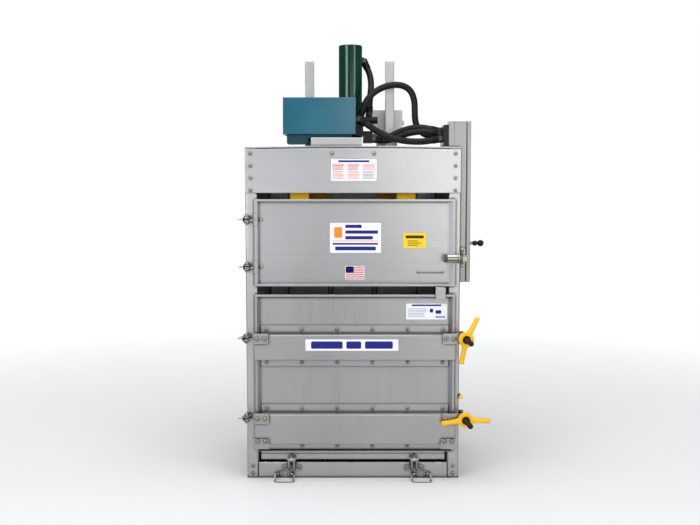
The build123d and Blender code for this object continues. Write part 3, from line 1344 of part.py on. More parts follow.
def make_column_cover():
    """The cover strip on the column's outer side, standing off on a narrow neck, with the lever's ears."""
    deep = (column_front, column_front + COLUMN_DEPTH)
    neck = block((column_right, strip_left), (deep[0] + COVER_NECK_INSET, deep[1] - COVER_NECK_INSET),
                 (COLUMN_BOTTOM + COVER_NECK_INSET, COLUMN_TOP - COVER_NECK_INSET))
    strip = block((strip_left, strip_right), deep, (COLUMN_BOTTOM, COLUMN_TOP))
    strip = fillet(strip.edges().filter_by(Axis.Z).group_by(Axis.X)[-1], SHEET)
    strip -= block((strip_left, strip_right - SHEET), (deep[0] + SHEET, deep[1] - SHEET),
                   (COLUMN_BOTTOM + SHEET, COLUMN_TOP - SHEET))
    neck -= block((column_right, strip_left), (deep[0] + COLUMN_LIP, deep[1] - COLUMN_LIP),
                  (COLUMN_BOTTOM + COLUMN_LIP, COLUMN_TOP - COLUMN_LIP))
    middle = (deep[0] + deep[1]) / 2
    cover = neck + strip
    inner = LEVER_HUB_HALF + SLIDING
    ear_z = (lever_z - LEVER_EAR / 2, lever_z + LEVER_EAR / 2)
    for sign in (-1, 1):
        ys = sorted((middle + sign * inner, middle + sign * (inner + BEND)))
        cover += block((strip_right, strip_right + LEVER_EAR), ys, ear_z)
    ends = inner + BEND
    pivot = strip_right + LEVER_EAR / 2
    cover += rod((pivot, middle - ends, lever_z), (pivot, middle + ends, lever_z), SHEET)
    return cover


def make_control_lever():
    """A rod with a hub on the ear pin, a ribbed boot and a ball knob."""
    middle = column_front + COLUMN_DEPTH / 2
    pivot = strip_right + LEVER_EAR / 2
    hub_near = (pivot, middle - LEVER_HUB_HALF, lever_z)
    hub_far = (pivot, middle + LEVER_HUB_HALF, lever_z)
    hub = rod(hub_near, hub_far, LEVER_HUB)
    ball_x = pivot + LEVER_REACH
    shaft = rod((pivot, middle, lever_z), (ball_x, middle, lever_z), LEVER_ROD)
    boot_start = strip_right + LEVER_EAR + BEND
    boot = rod((boot_start, middle, lever_z), (boot_start + 2 * BEND, middle, lever_z), HINGE_PIN)
    boot = chamfer(boot.edges().filter_by(GeomType.CIRCLE), SHEET)
    lever = hub + shaft + boot + Pos(ball_x, middle, lever_z) * Sphere(LEVER_BALL)
    return lever - drill(hub_near, hub_far, SHEET + RUNNING)


def make_valve_block():
    """The spool valve bolted to the column's inner face above the roof."""
    deep = (column_front, column_front + VALVE_DEPTH)
    valve = block((column_left - VALVE_WIDTH, column_left), deep, (VALVE_BOTTOM, VALVE_TOP))
    return chamfer(valve.edges().filter_by(Axis.Y), SHEET)


# Hoses: points chosen by hand along each route, as seen in the photo

PRESSURE_HOSE = [
    (62, 54, 2050), (80, 42, 2014), (91, 18, 1974), (94, -10, 1936), (91, -38, 1897), (87, -60, 1860),
    (84, -76, 1824), (82, -86, 1788),
]
LOOP_HOSE = [
    (38, -152, 1764), (52, -148, 1816), (86, -138, 1870), (138, -124, 1908), (200, -114, 1926),
    (254, -110, 1922), (290, -112, 1897), (308, -118, 1852), (310, -124, 1796), (311, -130, 1740),
    (332, -140, 1694), (372, -154, 1668), (418, -164, 1664),
]
FRONT_HOSE = [
    (34, -240, 1742), (70, -242, 1721), (120, -248, 1684), (180, -256, 1656), (246, -266, 1639),
    (320, -277, 1634), (376, -284, 1639), (418, -288, 1648),
]
ARCH_HOSE = [
    (114, -155, 1652), (154, -157, 1653), (190, -161, 1667), (236, -167, 1691), (298, -177, 1709),
    (368, -191, 1707), (418, -203, 1690),
]
RETURN_HOSE = [
    (114, -200, 1650), (158, -206, 1641), (212, -215, 1655), (272, -226, 1680), (342, -238, 1688),
    (388, -248, 1682), (418, -254, 1672),
]


def fit_route(points, start, end):
    """Shares out the shift of a route's two ends along its length."""
    first = Vector(*start) - Vector(*points[0])
    last = Vector(*end) - Vector(*points[-1])
    spans = [(Vector(*after) - Vector(*before)).length for before, after in zip(points, points[1:])]
    fitted = []
    for index, point in enumerate(points):
        share = sum(spans[:index]) / sum(spans)
        fitted.append(tuple(Vector(*point) + first * (1 - share) + last * share))
    return fitted


def valve_port(depth, z):
    """Where a hose ends before the valve block, at a depth behind the column's front."""
    return (column_left - VALVE_WIDTH - NUT_TO_FACE, column_front + depth, z)


pressure_start = (RAM_X + PORT_END_RIGHT, PORT_END_BACK, port_z - PORT_END_DROP)
routes = {
    "pressure_hose": fit_route(PRESSURE_HOSE, pressure_start, PRESSURE_HOSE[-1]),
    "loop_hose": fit_route(LOOP_HOSE, LOOP_HOSE[0], valve_port(LOOP_PORT_DEPTH, LOOP_PORT_Z)),
    "front_hose": fit_route(FRONT_HOSE, FRONT_HOSE[0], valve_port(FRONT_PORT_DEPTH, FRONT_PORT_Z)),
    "arch_hose": fit_route(ARCH_HOSE, ARCH_HOSE[0], valve_port(ARCH_PORT_DEPTH, ARCH_PORT_Z)),
    "return_hose": fit_route(RETURN_HOSE, RETURN_HOSE[0], valve_port(RETURN_PORT_DEPTH, RETURN_PORT_Z)),
}


def turn_radius(before, corner, after):
    """Bend radius at a corner: as wide as the shorter run beside it allows."""
    incoming = Vector(*corner) - Vector(*before)
    outgoing = Vector(*after) - Vector(*corner)
    turn = radians(incoming.get_angle(outgoing))
    return HOSE_BEND_SHARE * min(incoming.length, outgoing.length) / tan(turn / 2)


def make_hose(points):
    """A hose that follows its route with tangent bends."""
    radii = [turn_radius(*points[index - 1:index + 2]) for index in range(1, len(points) - 1)]
    start = Vector(*points[1]) - Vector(*points[0])
    with BuildPart() as hose:
        with BuildLine():
            FilletPolyline(*points, radius=radii)
        with BuildSketch(Plane(origin=points[0], z_dir=start)):
            Circle(HOSE / 2)
        sweep()
    return hose.part


def make_nut(end, inward):
    """A hexagon swivel nut that continues a hose beyond its end."""
    outward = (Vector(*end) - Vector(*inward)).normalized()
    plane = Plane(origin=end, z_dir=outward)
    return extrude(plane * RegularPolygon(FITTING, 6), amount=FITTING_LENGTH)


def make_hose_fittings():
    """Swivel nuts at every hose end, trimmed to the faces they seat on, and the elbow on the cylinder."""
    nuts = []
    for points in routes.values():
        nuts.append(make_nut(points[0], points[1]))
        nuts.append(make_nut(points[-1], points[-2]))
    first, second = routes["pressure_hose"][:2]
    outward = (Vector(*first) - Vector(*second)).normalized()
    knee = Vector(*first) + outward * FITTING_LENGTH
    boss_end = port_point(CYLINDER_RADIUS + PORT_BOSS)
    elbow = rod(boss_end, (knee.X, knee.Y, boss_end[2]), PORT_RADIUS)
    elbow += Pos(knee.X, knee.Y, knee.Z) * Sphere(PORT_RADIUS)
    nuts[0] += elbow
    faces = (make_valve_block(), make_pump(), make_tank(), make_cylinder_barrel())
    trimmed = []
    for nut in nuts:
        for face in faces:
            nut -= face
        trimmed.append(nut)
    return Compound(children=trimmed)


NODES = {
    "base_plate": make_base_plate(),
    "base_front_panel": make_base_front_panel(),
    "corner_posts": Compound(children=[make_post(side, end) for side in (-1, 1) for end in (-1, 1)]),
    "side_walls": Compound(children=[make_side_wall(side) for side in (-1, 1)]),
    "wall_beams": make_wall_beams(),
    "back_wall": make_back_wall(),
    "roof_sheet": make_roof(),
    "upper_front_cover": make_upper_cover(),
    "frame_screws": make_frame_screws(),
    "upper_door_pan": make_door_pan(UPPER_DOOR_BOTTOM, UPPER_DOOR_TOP, upper_lips, upper_slopes),
    "upper_hinge_leaves": make_upper_leaves(),
    "door_pull": make_door_pull(),
    "lower_door_pan": make_door_pan(LOWER_DOOR_BOTTOM, LOWER_DOOR_TOP, lower_lips, lower_slopes),
    "upper_door_beam": make_door_beam(UPPER_BEAM_BOTTOM, UPPER_BEAM_TOP),
    "lower_door_beam": make_door_beam(LOWER_BEAM_BOTTOM, LOWER_BEAM_TOP),
    "beam_bolts": make_beam_bolts(),
    "lower_hinge_leaves": make_lower_leaves(),
    "door_plates": make_door_plates(),
    "interlock_tab": make_interlock_tab(),
    "hinge_brackets": make_hinge_brackets(),
    "hinge_pins": make_hinge_pins(),
    "clamp_lugs": make_clamp_lugs(),
    "swing_bolt_upper": make_swing_bolt(lower_hinge_levels[1]),
    "swing_bolt_lower": make_swing_bolt(lower_hinge_levels[0]),
    "hand_nut_upper": make_hand_nut(lower_hinge_levels[1], UPPER_NUT_ARMS),
    "hand_nut_lower": make_hand_nut(lower_hinge_levels[0], LOWER_NUT_ARMS),
    "latch_bracket": make_latch_bracket(),
    "latch_lever": make_latch_lever(),
    "pull_pin_sleeve": make_pull_pin_sleeve(),
    "pull_pin": make_pull_pin(),
    "tipping_floor": make_tipping_floor(),
    "floor_clevises": make_floor_clevises(),
    "handle_plates": make_handle_plates(),
    "bail_left": make_bail(-1),
    "bail_right": make_bail(1),
    "crosshead": Compound(children=[make_crosshead_plate(), *make_crosshead_beams()]),
    "guide_collars": Compound(children=make_guide_collars()),
    "cylinder_flange": make_cylinder_flange(),
    "cylinder_barrel": make_cylinder_barrel(),
    "cylinder_cap": make_cylinder_cap(),
    "piston_rod": make_piston_rod(),
    "guide_posts": make_guide_posts(),
    "platen": make_platen(),
    "ram_channels": Compound(children=make_ram_channels() + make_ram_cross_bars()),
    "rod_block": make_rod_block(),
    "power_unit_tank": make_tank(),
    "power_unit_tray": make_unit_tray(),
    "roof_stands": Compound(children=[make_unit_bracket(), make_junction_stand()]),
    "pump": make_pump(),
    "junction_box": make_junction_box(),
    "control_column": make_control_column(),
    "column_cover": make_column_cover(),
    "control_lever": make_control_lever(),
    "valve_block": make_valve_block(),
    "hose_fittings": make_hose_fittings(),
    "pressure_hose": make_hose(routes["pressure_hose"]),
    "loop_hose": make_hose(routes["loop_hose"]),
    "front_hose": make_hose(routes["front_hose"]),
    "arch_hose": make_hose(routes["arch_hose"]),
    "return_hose": make_hose(routes["return_hose"]),
}

os.makedirs("parts", exist_ok=True)
for node, shape in NODES.items():
    export_step(shape, "parts/" + node + ".step")
print(len(NODES), "nodes")
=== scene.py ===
import random
from math import cos, pi, radians, sin

import bmesh
import bpy
from mathutils import Matrix, Vector


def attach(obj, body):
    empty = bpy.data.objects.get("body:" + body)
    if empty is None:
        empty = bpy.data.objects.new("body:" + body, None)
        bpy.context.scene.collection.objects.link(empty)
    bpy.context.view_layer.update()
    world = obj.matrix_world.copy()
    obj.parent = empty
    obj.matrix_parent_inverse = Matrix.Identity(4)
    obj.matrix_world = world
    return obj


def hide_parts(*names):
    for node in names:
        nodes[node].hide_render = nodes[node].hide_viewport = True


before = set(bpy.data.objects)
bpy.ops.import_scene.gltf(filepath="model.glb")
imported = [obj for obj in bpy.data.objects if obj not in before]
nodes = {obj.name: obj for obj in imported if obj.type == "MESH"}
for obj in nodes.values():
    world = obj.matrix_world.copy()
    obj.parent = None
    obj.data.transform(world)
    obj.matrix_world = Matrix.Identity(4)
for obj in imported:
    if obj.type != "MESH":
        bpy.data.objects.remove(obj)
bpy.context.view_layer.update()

scene = bpy.context.scene
collection = scene.collection
MM = 0.001

# Camera at the photograph's viewpoint

CAMERA_PLACE = (-0.014, -5.169, 1.425)
CAMERA_PITCH = 85.57
CAMERA_LENS = 51.43
SENSOR_WIDTH = 36.0
CAMERA_RANGE = 60.0

camera_data = bpy.data.cameras.new("camera")
camera_data.lens = CAMERA_LENS
camera_data.sensor_width = SENSOR_WIDTH
camera_data.clip_end = CAMERA_RANGE
camera = bpy.data.objects.new("camera", camera_data)
collection.objects.link(camera)
camera.location = CAMERA_PLACE
camera.rotation_euler = (radians(CAMERA_PITCH), 0.0, 0.0)
scene.camera = camera
scene.view_settings.view_transform = "Standard"


# Node helpers for the materials and the world

class Graph:
    """A node tree with short ways to add to it."""

    def __init__(self, tree):
        self.tree = tree

    def add(self, kind, **values):
        node = self.tree.nodes.new(kind)
        for key, value in values.items():
            setattr(node, key, value)
        return node

    def link(self, start, end):
        self.tree.links.new(start, end)

    def feed(self, value, socket):
        """Gives a socket a number, a colour or another node's output."""
        if isinstance(value, (int, float)):
            socket.default_value = value
        elif isinstance(value, tuple):
            socket.default_value = (*value, 1.0)
        else:
            self.link(value, socket)

    def range(self, value, low, high, start=0.0, end=1.0):
        """The value mapped from start..end to low..high."""
        node = self.add("ShaderNodeMapRange")
        node.inputs["From Min"].default_value = start
        node.inputs["From Max"].default_value = end
        node.inputs["To Min"].default_value = low
        node.inputs["To Max"].default_value = high
        self.link(value, node.inputs["Value"])
        return node.outputs["Result"]

    def part(self, vector, axis):
        """One axis of a vector."""
        node = self.add("ShaderNodeSeparateXYZ")
        self.link(vector, node.inputs["Vector"])
        return node.outputs[axis]

    def blend(self, factor, first, second):
        """Two shaders mixed: a factor of 1 is all of the second."""
        node = self.add("ShaderNodeMixShader")
        self.link(factor, node.inputs["Fac"])
        self.link(first, node.inputs[1])
        self.link(second, node.inputs[2])
        return node.outputs["Shader"]


class Shader(Graph):
    """A material's node tree around its Principled shader."""

    def __init__(self, name):
        self.material = bpy.data.materials.new(name)
        self.material.use_nodes = True
        super().__init__(self.material.node_tree)
        self.shader = self.tree.nodes["Principled BSDF"]
        self.coords = self.add("ShaderNodeTexCoord").outputs["Object"]
        self.rounded = None

    def noise(self, scale, detail=3.0, rough=0.5):
        """Noise with its own scale along each axis, in cycles a metre."""
        mapping = self.add("ShaderNodeMapping")
        mapping.inputs["Scale"].default_value = scale
        self.link(self.coords, mapping.inputs["Vector"])
        noise = self.add("ShaderNodeTexNoise")
        noise.inputs["Scale"].default_value = 1.0
        noise.inputs["Detail"].default_value = detail
        noise.inputs["Roughness"].default_value = rough
        self.link(mapping.outputs["Vector"], noise.inputs["Vector"])
        return noise.outputs["Fac"]

    def math(self, operation, first, second):
        node = self.add("ShaderNodeMath", operation=operation)
        self.feed(first, node.inputs[0])
        self.feed(second, node.inputs[1])
        return node.outputs[0]

    def ramp(self, value, stops):
        """A colour ramp: stops are (position, colour)."""
        node = self.add("ShaderNodeValToRGB")
        elements = node.color_ramp.elements
        while len(elements) < len(stops):
            elements.new(0.5)
        for element, (position, colour) in zip(elements, stops):
            element.position = position
            element.color = (*colour, 1.0)
        self.link(value, node.inputs["Fac"])
        return node.outputs["Color"]

    def tones(self, value, colour, stops):
        """A colour in darker and lighter tones: stops are (position, factor)."""
        return self.ramp(value, [(position, shade(colour, factor)) for position, factor in stops])

    def mix(self, factor, first, second, blend="MIX"):
        """Two colours mixed: a factor of 1 is all of the second."""
        node = self.add("ShaderNodeMix", data_type="RGBA", blend_type=blend)
        self.feed(factor, node.inputs[0])
        self.feed(first, node.inputs[6])
        self.feed(second, node.inputs[7])
        return node.outputs[2]

    def mix_number(self, factor, first, second):
        node = self.add("ShaderNodeMix", data_type="FLOAT")
        self.feed(factor, node.inputs[0])
        self.feed(first, node.inputs[2])
        self.feed(second, node.inputs[3])
        return node.outputs[0]

    def round_edges(self, radius):
        """Shades every edge as if it had been broken to a radius."""
        node = self.add("ShaderNodeBevel", samples=EDGE_SAMPLES)
        node.inputs["Radius"].default_value = radius
        self.rounded = node.outputs["Normal"]
        self.link(self.rounded, self.shader.inputs["Normal"])

    def edge_mask(self, low, high):
        """White along the edges that round_edges has broken."""
        geometry = self.add("ShaderNodeNewGeometry")
        dot = self.add("ShaderNodeVectorMath", operation="DOT_PRODUCT")
        self.link(geometry.outputs["Normal"], dot.inputs[0])
        self.link(self.rounded, dot.inputs[1])
        return self.range(dot.outputs["Value"], 1.0, 0.0, low, high)

    def left_mask(self, start, end):
        """White where the object's own normal leans to its left, from start to end along X."""
        normal = self.add("ShaderNodeTexCoord").outputs["Normal"]
        return self.range(self.part(normal, "X"), 0.0, 1.0, start, end)

    def seams(self, base, reach, amount, low, high):
        """Painted shade with some dirt: darkens corners and where plates meet by occlusion, within a reach in
        metres.
        """
        node = self.add("ShaderNodeAmbientOcclusion", samples=SEAM_SAMPLES)
        node.inputs["Distance"].default_value = reach
        layer = self.ramp(node.outputs["AO"], [(low, SEAM_SHADE_AND_DIRT), (high, UNTINTED)])
        return self.mix(amount, base, layer, "MULTIPLY")

    def bump(self, height, strength, distance):
        node = self.add("ShaderNodeBump")
        node.inputs["Strength"].default_value = strength
        node.inputs["Distance"].default_value = distance
        self.link(height, node.inputs["Height"])
        if self.rounded is not None:
            self.link(self.rounded, node.inputs["Normal"])
        self.link(node.outputs["Normal"], self.shader.inputs["Normal"])


# Material recipes: lengths are in metres, noise scales in cycles a metre, and tones are pairs of a
# position on the ramp and a factor on the colour

UNTINTED = (1.0, 1.0, 1.0)
# The seam colour darkens corners and joints: painted shade, with some dirt
SEAM_SHADE_AND_DIRT = (0.055, 0.047, 0.037)
EDGE_SAMPLES = 4
SEAM_SAMPLES = 6

FINE_GRAIN = {"X": (3, 700, 700), "Y": (700, 3, 700), "Z": (700, 700, 3)}
STREAK_GRAIN = {"X": (0.8, 45, 45), "Y": (45, 0.8, 45), "Z": (45, 45, 0.8)}
STEEL_CLOUD = (2.0, 2.0, 1.6)
STREAK_SHARE, CLOUD_SHARE = 0.3, 0.7
STEEL_TONES = [(0.3, 0.92), (0.5, 1.0), (0.7, 1.06)]
STEEL_SMEAR = (11, 11, 4)
SMEAR_AMOUNT = 0.6
STEEL_STAIN = [(0.60, UNTINTED), (0.80, (0.88, 0.85, 0.81))]
# Seams on steel are darkened by occlusion: painted shade, with some dirt
STEEL_SEAM_REACH = 0.016
STEEL_SEAM_RANGE = (0.62, 0.92)
STEEL_SLOPE_RANGE = (-0.12, -0.24)
CLOUD_DULLING = 0.8
BRUSHING_STRENGTH = 0.10
BRUSHING_DEPTH = 0.0004

PAINT_EDGE = 0.0014
PAINT_CLOUD = (6, 6, 6)
PAINT_TONES = [(0.3, 0.88), (0.7, 1.1)]
PAINT_SPECK = (70, 70, 70)
WORN_EDGE_RANGE = (0.86, 0.985)
WORN_SPECK_RANGE = (0.48, 0.62)
WORN_AMOUNT = 0.55
# Corners of paint are darkened by occlusion: painted shade, with some dirt
PAINT_SEAM_REACH = 0.014
PAINT_SEAM_RANGE = (0.42, 0.9)
PEEL_GRAIN = (260, 260, 260)
PEEL_STRENGTH = 0.08
PEEL_DEPTH = 0.0004

MOULDED_HAZE = (18, 18, 18)
MOULDED_DEPTH = 0.0003
CHROME_TURNING = (2, 2, 900)


def shade(colour, factor):
    """A colour made lighter or darker, at most white."""
    return tuple(min(1.0, channel * factor) for channel in colour)


def brushed_steel(name, colour, grain, rough=0.24, metal=0.96, shade_and_dirt=0.95, edge=0.005, slope=None):
    """Brushed stainless sheet: the grain runs along X, Y or Z, and the seams are darkened with painted shade
    and dirt.

    A slope is the colour and the roughness of faces that lean to the object's left; its lighter colour is a
    painted highlight.
    """
    s = Shader(name)
    s.round_edges(edge)
    brushed = s.noise(FINE_GRAIN[grain], 2.0)
    streaks = s.noise(STREAK_GRAIN[grain], 4.0, 0.6)
    cloud = s.noise(STEEL_CLOUD, 5.0, 0.55)
    tone = s.math("ADD", s.math("MULTIPLY", streaks, STREAK_SHARE), s.math("MULTIPLY", cloud, CLOUD_SHARE))
    base = s.tones(tone, colour, STEEL_TONES)
    stain = s.ramp(s.noise(STEEL_SMEAR, 6.0, 0.7), STEEL_STAIN)
    base = s.mix(SMEAR_AMOUNT, base, stain, "MULTIPLY")
    # Painted shade with some dirt in the seams
    base = s.seams(base, STEEL_SEAM_REACH, shade_and_dirt, *STEEL_SEAM_RANGE)
    uneven = s.math("ADD", brushed, s.math("MULTIPLY", cloud, CLOUD_DULLING))
    roughness = s.range(uneven, rough - 0.09, rough + 0.10)
    # Faces leaning left get a lighter colour, which is a painted highlight, and their own roughness
    if slope:
        slope_highlight, slope_rough = slope
        mask = s.left_mask(*STEEL_SLOPE_RANGE)
        base = s.mix(mask, base, slope_highlight)
        roughness = s.mix_number(mask, roughness, slope_rough)
    s.link(base, s.shader.inputs["Base Color"])
    s.shader.inputs["Metallic"].default_value = metal
    s.link(roughness, s.shader.inputs["Roughness"])
    s.bump(brushed, BRUSHING_STRENGTH, BRUSHING_DEPTH)
    return s.material


def painted(name, colour, rough=0.35, chips=(0.5, 0.5, 0.48), coat=0.0, uneven=1.0, shade_and_dirt=0.7, gloss=0.5):
    """Paint with slight mottling, an even skin of orange peel, worn edges, and painted shade with dirt in the
    corners.
    """
    s = Shader(name)
    s.round_edges(PAINT_EDGE)
    cloud = s.noise(PAINT_CLOUD, 4.0)
    base = s.tones(cloud, colour, PAINT_TONES)
    speck = s.range(s.noise(PAINT_SPECK, 4.0, 0.6), 0.0, 1.0, *WORN_SPECK_RANGE)
    worn = s.math("MULTIPLY", s.edge_mask(*WORN_EDGE_RANGE), speck)
    base = s.mix(s.math("MULTIPLY", worn, WORN_AMOUNT), base, chips)
    # Painted shade with some dirt in the corners
    base = s.seams(base, PAINT_SEAM_REACH, shade_and_dirt, *PAINT_SEAM_RANGE)
    s.link(base, s.shader.inputs["Base Color"])
    s.link(s.range(cloud, rough - 0.06 * uneven, rough + 0.1 * uneven), s.shader.inputs["Roughness"])
    s.shader.inputs["Coat Weight"].default_value = coat
    s.shader.inputs["Specular IOR Level"].default_value = gloss
    s.bump(s.noise(PEEL_GRAIN, 2.0), PEEL_STRENGTH, PEEL_DEPTH)
    return s.material


def moulded(name, colour, rough, grain=900.0, strength=0.15, dust=1.5, gloss=0.5):
    """Moulded plastic or rubber with a fine surface grain and faint dust."""
    s = Shader(name)
    haze = s.noise(MOULDED_HAZE, 5.0)
    s.link(s.tones(haze, colour, [(0.4, 1.0), (0.8, dust)]), s.shader.inputs["Base Color"])
    s.link(s.range(haze, rough - 0.07, rough + 0.1), s.shader.inputs["Roughness"])
    s.shader.inputs["Specular IOR Level"].default_value = gloss
    s.bump(s.noise((grain, grain, grain), 2.0), strength, MOULDED_DEPTH)
    return s.material


def chromed(name, dark, light):
    """Hard-chromed rod with faint turning marks."""
    s = Shader(name)
    turned = s.noise(CHROME_TURNING, 2.0)
    s.link(s.ramp(turned, [(0.3, dark), (0.7, light)]), s.shader.inputs["Base Color"])
    s.shader.inputs["Metallic"].default_value = 1.0
    s.link(s.range(turned, 0.08, 0.18), s.shader.inputs["Roughness"])
    return s.material


STEEL = (0.60, 0.605, 0.61)
# A lighter copy of the same stainless: painted light, which lifts the shaded tipping floor and lightens the
# upper cover and the base panel
STEEL_LIT = (0.69, 0.695, 0.705)
STEEL_POST = (0.70, 0.70, 0.695)
STEEL_GREY = (0.47, 0.465, 0.455)
STEEL_WARM = (0.60, 0.585, 0.555)
STEEL_DARK = (0.30, 0.29, 0.28)
STEEL_CAST = (0.55, 0.52, 0.46)
STEEL_WIRE = (0.74, 0.73, 0.71)
# The pan's left-leaning faces: a lighter colour that is a painted highlight, and a roughness
PAN_SLOPE_HIGHLIGHT = ((0.81, 0.81, 0.82), 0.6)
ZINC = (0.16, 0.15, 0.13)
CRIMPED = (0.020, 0.019, 0.018)
BRASS = (0.74, 0.62, 0.36)
TEAL = (0.003, 0.108, 0.168)
TEAL_DARK = (0.008, 0.06, 0.085)
GREEN = (0.0005, 0.036, 0.018)
HANDLE_YELLOW, HANDLE_CHIPS = (0.93, 0.50, 0.002), (0.32, 0.24, 0.10)
CHANNEL_YELLOW, CHANNEL_CHIPS = (1.0, 0.55, 0.001), (0.6, 0.35, 0.1)
BLACK_PAINT, BLACK_CHIPS = (0.010, 0.010, 0.011), (0.16, 0.15, 0.14)

steel_x = brushed_steel("steel_horizontal_grain", STEEL, "X")
steel_pan = brushed_steel("steel_door_pan", STEEL, "X", shade_and_dirt=0.55, slope=PAN_SLOPE_HIGHLIGHT)
steel_z = brushed_steel("steel_vertical_grain", STEEL, "Z")
steel_y = brushed_steel("steel_depth_grain", STEEL, "Y")
# Painted light: the stainless made lighter
steel_lit = brushed_steel("steel_lit", STEEL_LIT, "X")
steel_post = brushed_steel("steel_post", STEEL_POST, "Z", 0.30, edge=0.006)
steel_grey = brushed_steel("steel_grey", STEEL_GREY, "Z", 0.30, edge=0.006)
steel_warm = brushed_steel("steel_warm", STEEL_WARM, "X", 0.26, edge=0.0015)
steel_dark = brushed_steel("steel_dark", STEEL_DARK, "Y", 0.4)
steel_cast = brushed_steel("steel_cast", STEEL_CAST, "X", 0.20, 1.0, 0.95, 0.0012)
steel_wire = brushed_steel("steel_wire", STEEL_WIRE, "X", 0.2, 1.0, 0.8, 0.0008)
zinc = brushed_steel("zinc_fitting", ZINC, "Z", 0.24, 1.0, 0.95, 0.0012)
crimped = brushed_steel("crimped_collar", CRIMPED, "Z", 0.34, 0.8, 0.9, 0.0010)
brass = brushed_steel("brass_fitting", BRASS, "Z", 0.28, 1.0, 0.8, 0.0012)
teal = painted("teal_paint", TEAL, 0.17, gloss=1.0)
teal_dark = painted("teal_dark_paint", TEAL_DARK, 0.45, gloss=0.3)
green = painted("green_paint", GREEN, 0.14, uneven=0.3, shade_and_dirt=0.3, gloss=0.5)
yellow = painted("yellow_paint", HANDLE_YELLOW, 0.3, HANDLE_CHIPS, coat=0.1, shade_and_dirt=0.45, gloss=0.35)
channel_yellow = painted("channel_yellow_paint", CHANNEL_YELLOW, 0.35, CHANNEL_CHIPS, shade_and_dirt=0.0, gloss=0.12)
black_metal = painted("black_metal_paint", BLACK_PAINT, 0.34, BLACK_CHIPS, gloss=0.35)
box_grey = painted("box_grey_paint", (0.74, 0.73, 0.70), 0.45, shade_and_dirt=0.6)
hose_rubber = moulded("hose_rubber", (0.0045, 0.0045, 0.005), 0.40, 1400.0, 0.35, 2.6, 0.3)
knob_plastic = moulded("knob_plastic", (0.006, 0.006, 0.007), 0.16, gloss=0.4)
grip_plastic = moulded("grip_plastic", (0.060, 0.056, 0.050), 0.4)
yellow_plastic = moulded("yellow_plastic", (0.85, 0.62, 0.02), 0.3, dust=1.1)
# The screw sockets' near-black colour is painted shade in the recess
socket_shade = moulded("socket_shade", (0.03, 0.028, 0.025), 0.6)
chrome = chromed("chrome_rod", (0.62, 0.63, 0.65), (0.72, 0.73, 0.75))


# Finishes of the CAD nodes

FINISHES = {
    # The lighter steel here is painted light
    steel_lit: ["upper_front_cover", "base_front_panel", "tipping_floor"],
    steel_x: ["upper_door_beam", "crosshead"],
    steel_pan: ["upper_door_pan"],
    steel_z: ["lower_door_pan", "lower_door_beam", "side_walls", "back_wall"],
    steel_post: ["corner_posts", "guide_posts", "roof_stands"],
    steel_grey: ["control_column", "column_cover"],
    steel_y: ["roof_sheet", "base_plate", "wall_beams", "platen"],
    steel_warm: ["interlock_tab", "door_plates", "lower_hinge_leaves", "upper_hinge_leaves",
                 "handle_plates", "floor_clevises", "clamp_lugs"],
    steel_cast: ["latch_lever", "latch_bracket", "hinge_brackets", "hinge_pins", "pull_pin_sleeve"],
    steel_wire: ["bail_left", "bail_right"],
    steel_dark: ["door_pull", "guide_collars", "rod_block"],
    zinc: ["hose_fittings"],
    green: ["cylinder_barrel", "cylinder_cap", "cylinder_flange"],
    teal: ["power_unit_tank"],
    teal_dark: ["power_unit_tray"],
    black_metal: ["swing_bolt_upper", "swing_bolt_lower", "pump", "valve_block"],
    channel_yellow: ["ram_channels"],
    chrome: ["piston_rod"],
    yellow_plastic: ["pull_pin"],
    box_grey: ["junction_box"],
}

# Round pieces: a weld and a bevel would bend their shading, so they get neither
TURNED = ("cylinder_barrel", "cylinder_cap", "piston_rod", "latch_lever", "hinge_pins", "pull_pin",
          "pull_pin_sleeve", "hose_fittings", "bail_left", "bail_right", "door_pull", "pump")
WELD_REACH = 0.00002
BEVEL_WIDTH = 0.0006
BEVEL_ANGLE = 40


def dress(node, material):
    """Gives a carried-over CAD node its material and, unless it is turned, soft edges."""
    obj = nodes[node]
    obj.data.materials.clear()
    obj.data.materials.append(material)
    if node in TURNED:
        return
    weld = obj.modifiers.new("weld", "WELD")
    weld.merge_threshold = WELD_REACH
    bevel = obj.modifiers.new("bevel", "BEVEL")
    bevel.width = BEVEL_WIDTH
    bevel.segments = 2
    bevel.limit_method = "ANGLE"
    bevel.angle_limit = radians(BEVEL_ANGLE)
    bevel.harden_normals = True


for material, names in FINISHES.items():
    for node in names:
        dress(node, material)


# Mesh helpers: shapes are given in millimetres

FRONT = (0, -1, 0)


def mesh_from(name, build):
    """A mesh made by a function that fills a bmesh."""
    mesh = bpy.data.meshes.new(name)
    bm = bmesh.new()
    build(bm)
    bmesh.ops.recalc_face_normals(bm, faces=bm.faces)
    bm.to_mesh(mesh)
    bm.free()
    return mesh


def add_piece(name, mesh, materials, body):
    """An object that rides on a body and takes a slot's finish."""
    for material in materials:
        mesh.materials.append(material)
    obj = bpy.data.objects.new(name, mesh)
    collection.objects.link(obj)
    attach(obj, body)
    return obj


def smooth_piece(name, mesh, materials, body, replaced=(), sharp=38):
    """A rounded piece, shaded smooth up to an angle, that may stand for CAD nodes."""
    mesh.set_sharp_from_angle(angle=radians(sharp))
    obj = add_piece(name, mesh, materials, body)
    if replaced:
        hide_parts(*replaced)
    return obj


def axis_frame(origin, direction):
    """Local axes in millimetres, with Z along a direction."""
    turn = Vector(direction).to_track_quat("Z", "Y").to_matrix().to_4x4()
    return Matrix.Translation(Vector(origin) * MM) @ turn @ Matrix.Scale(MM, 4)


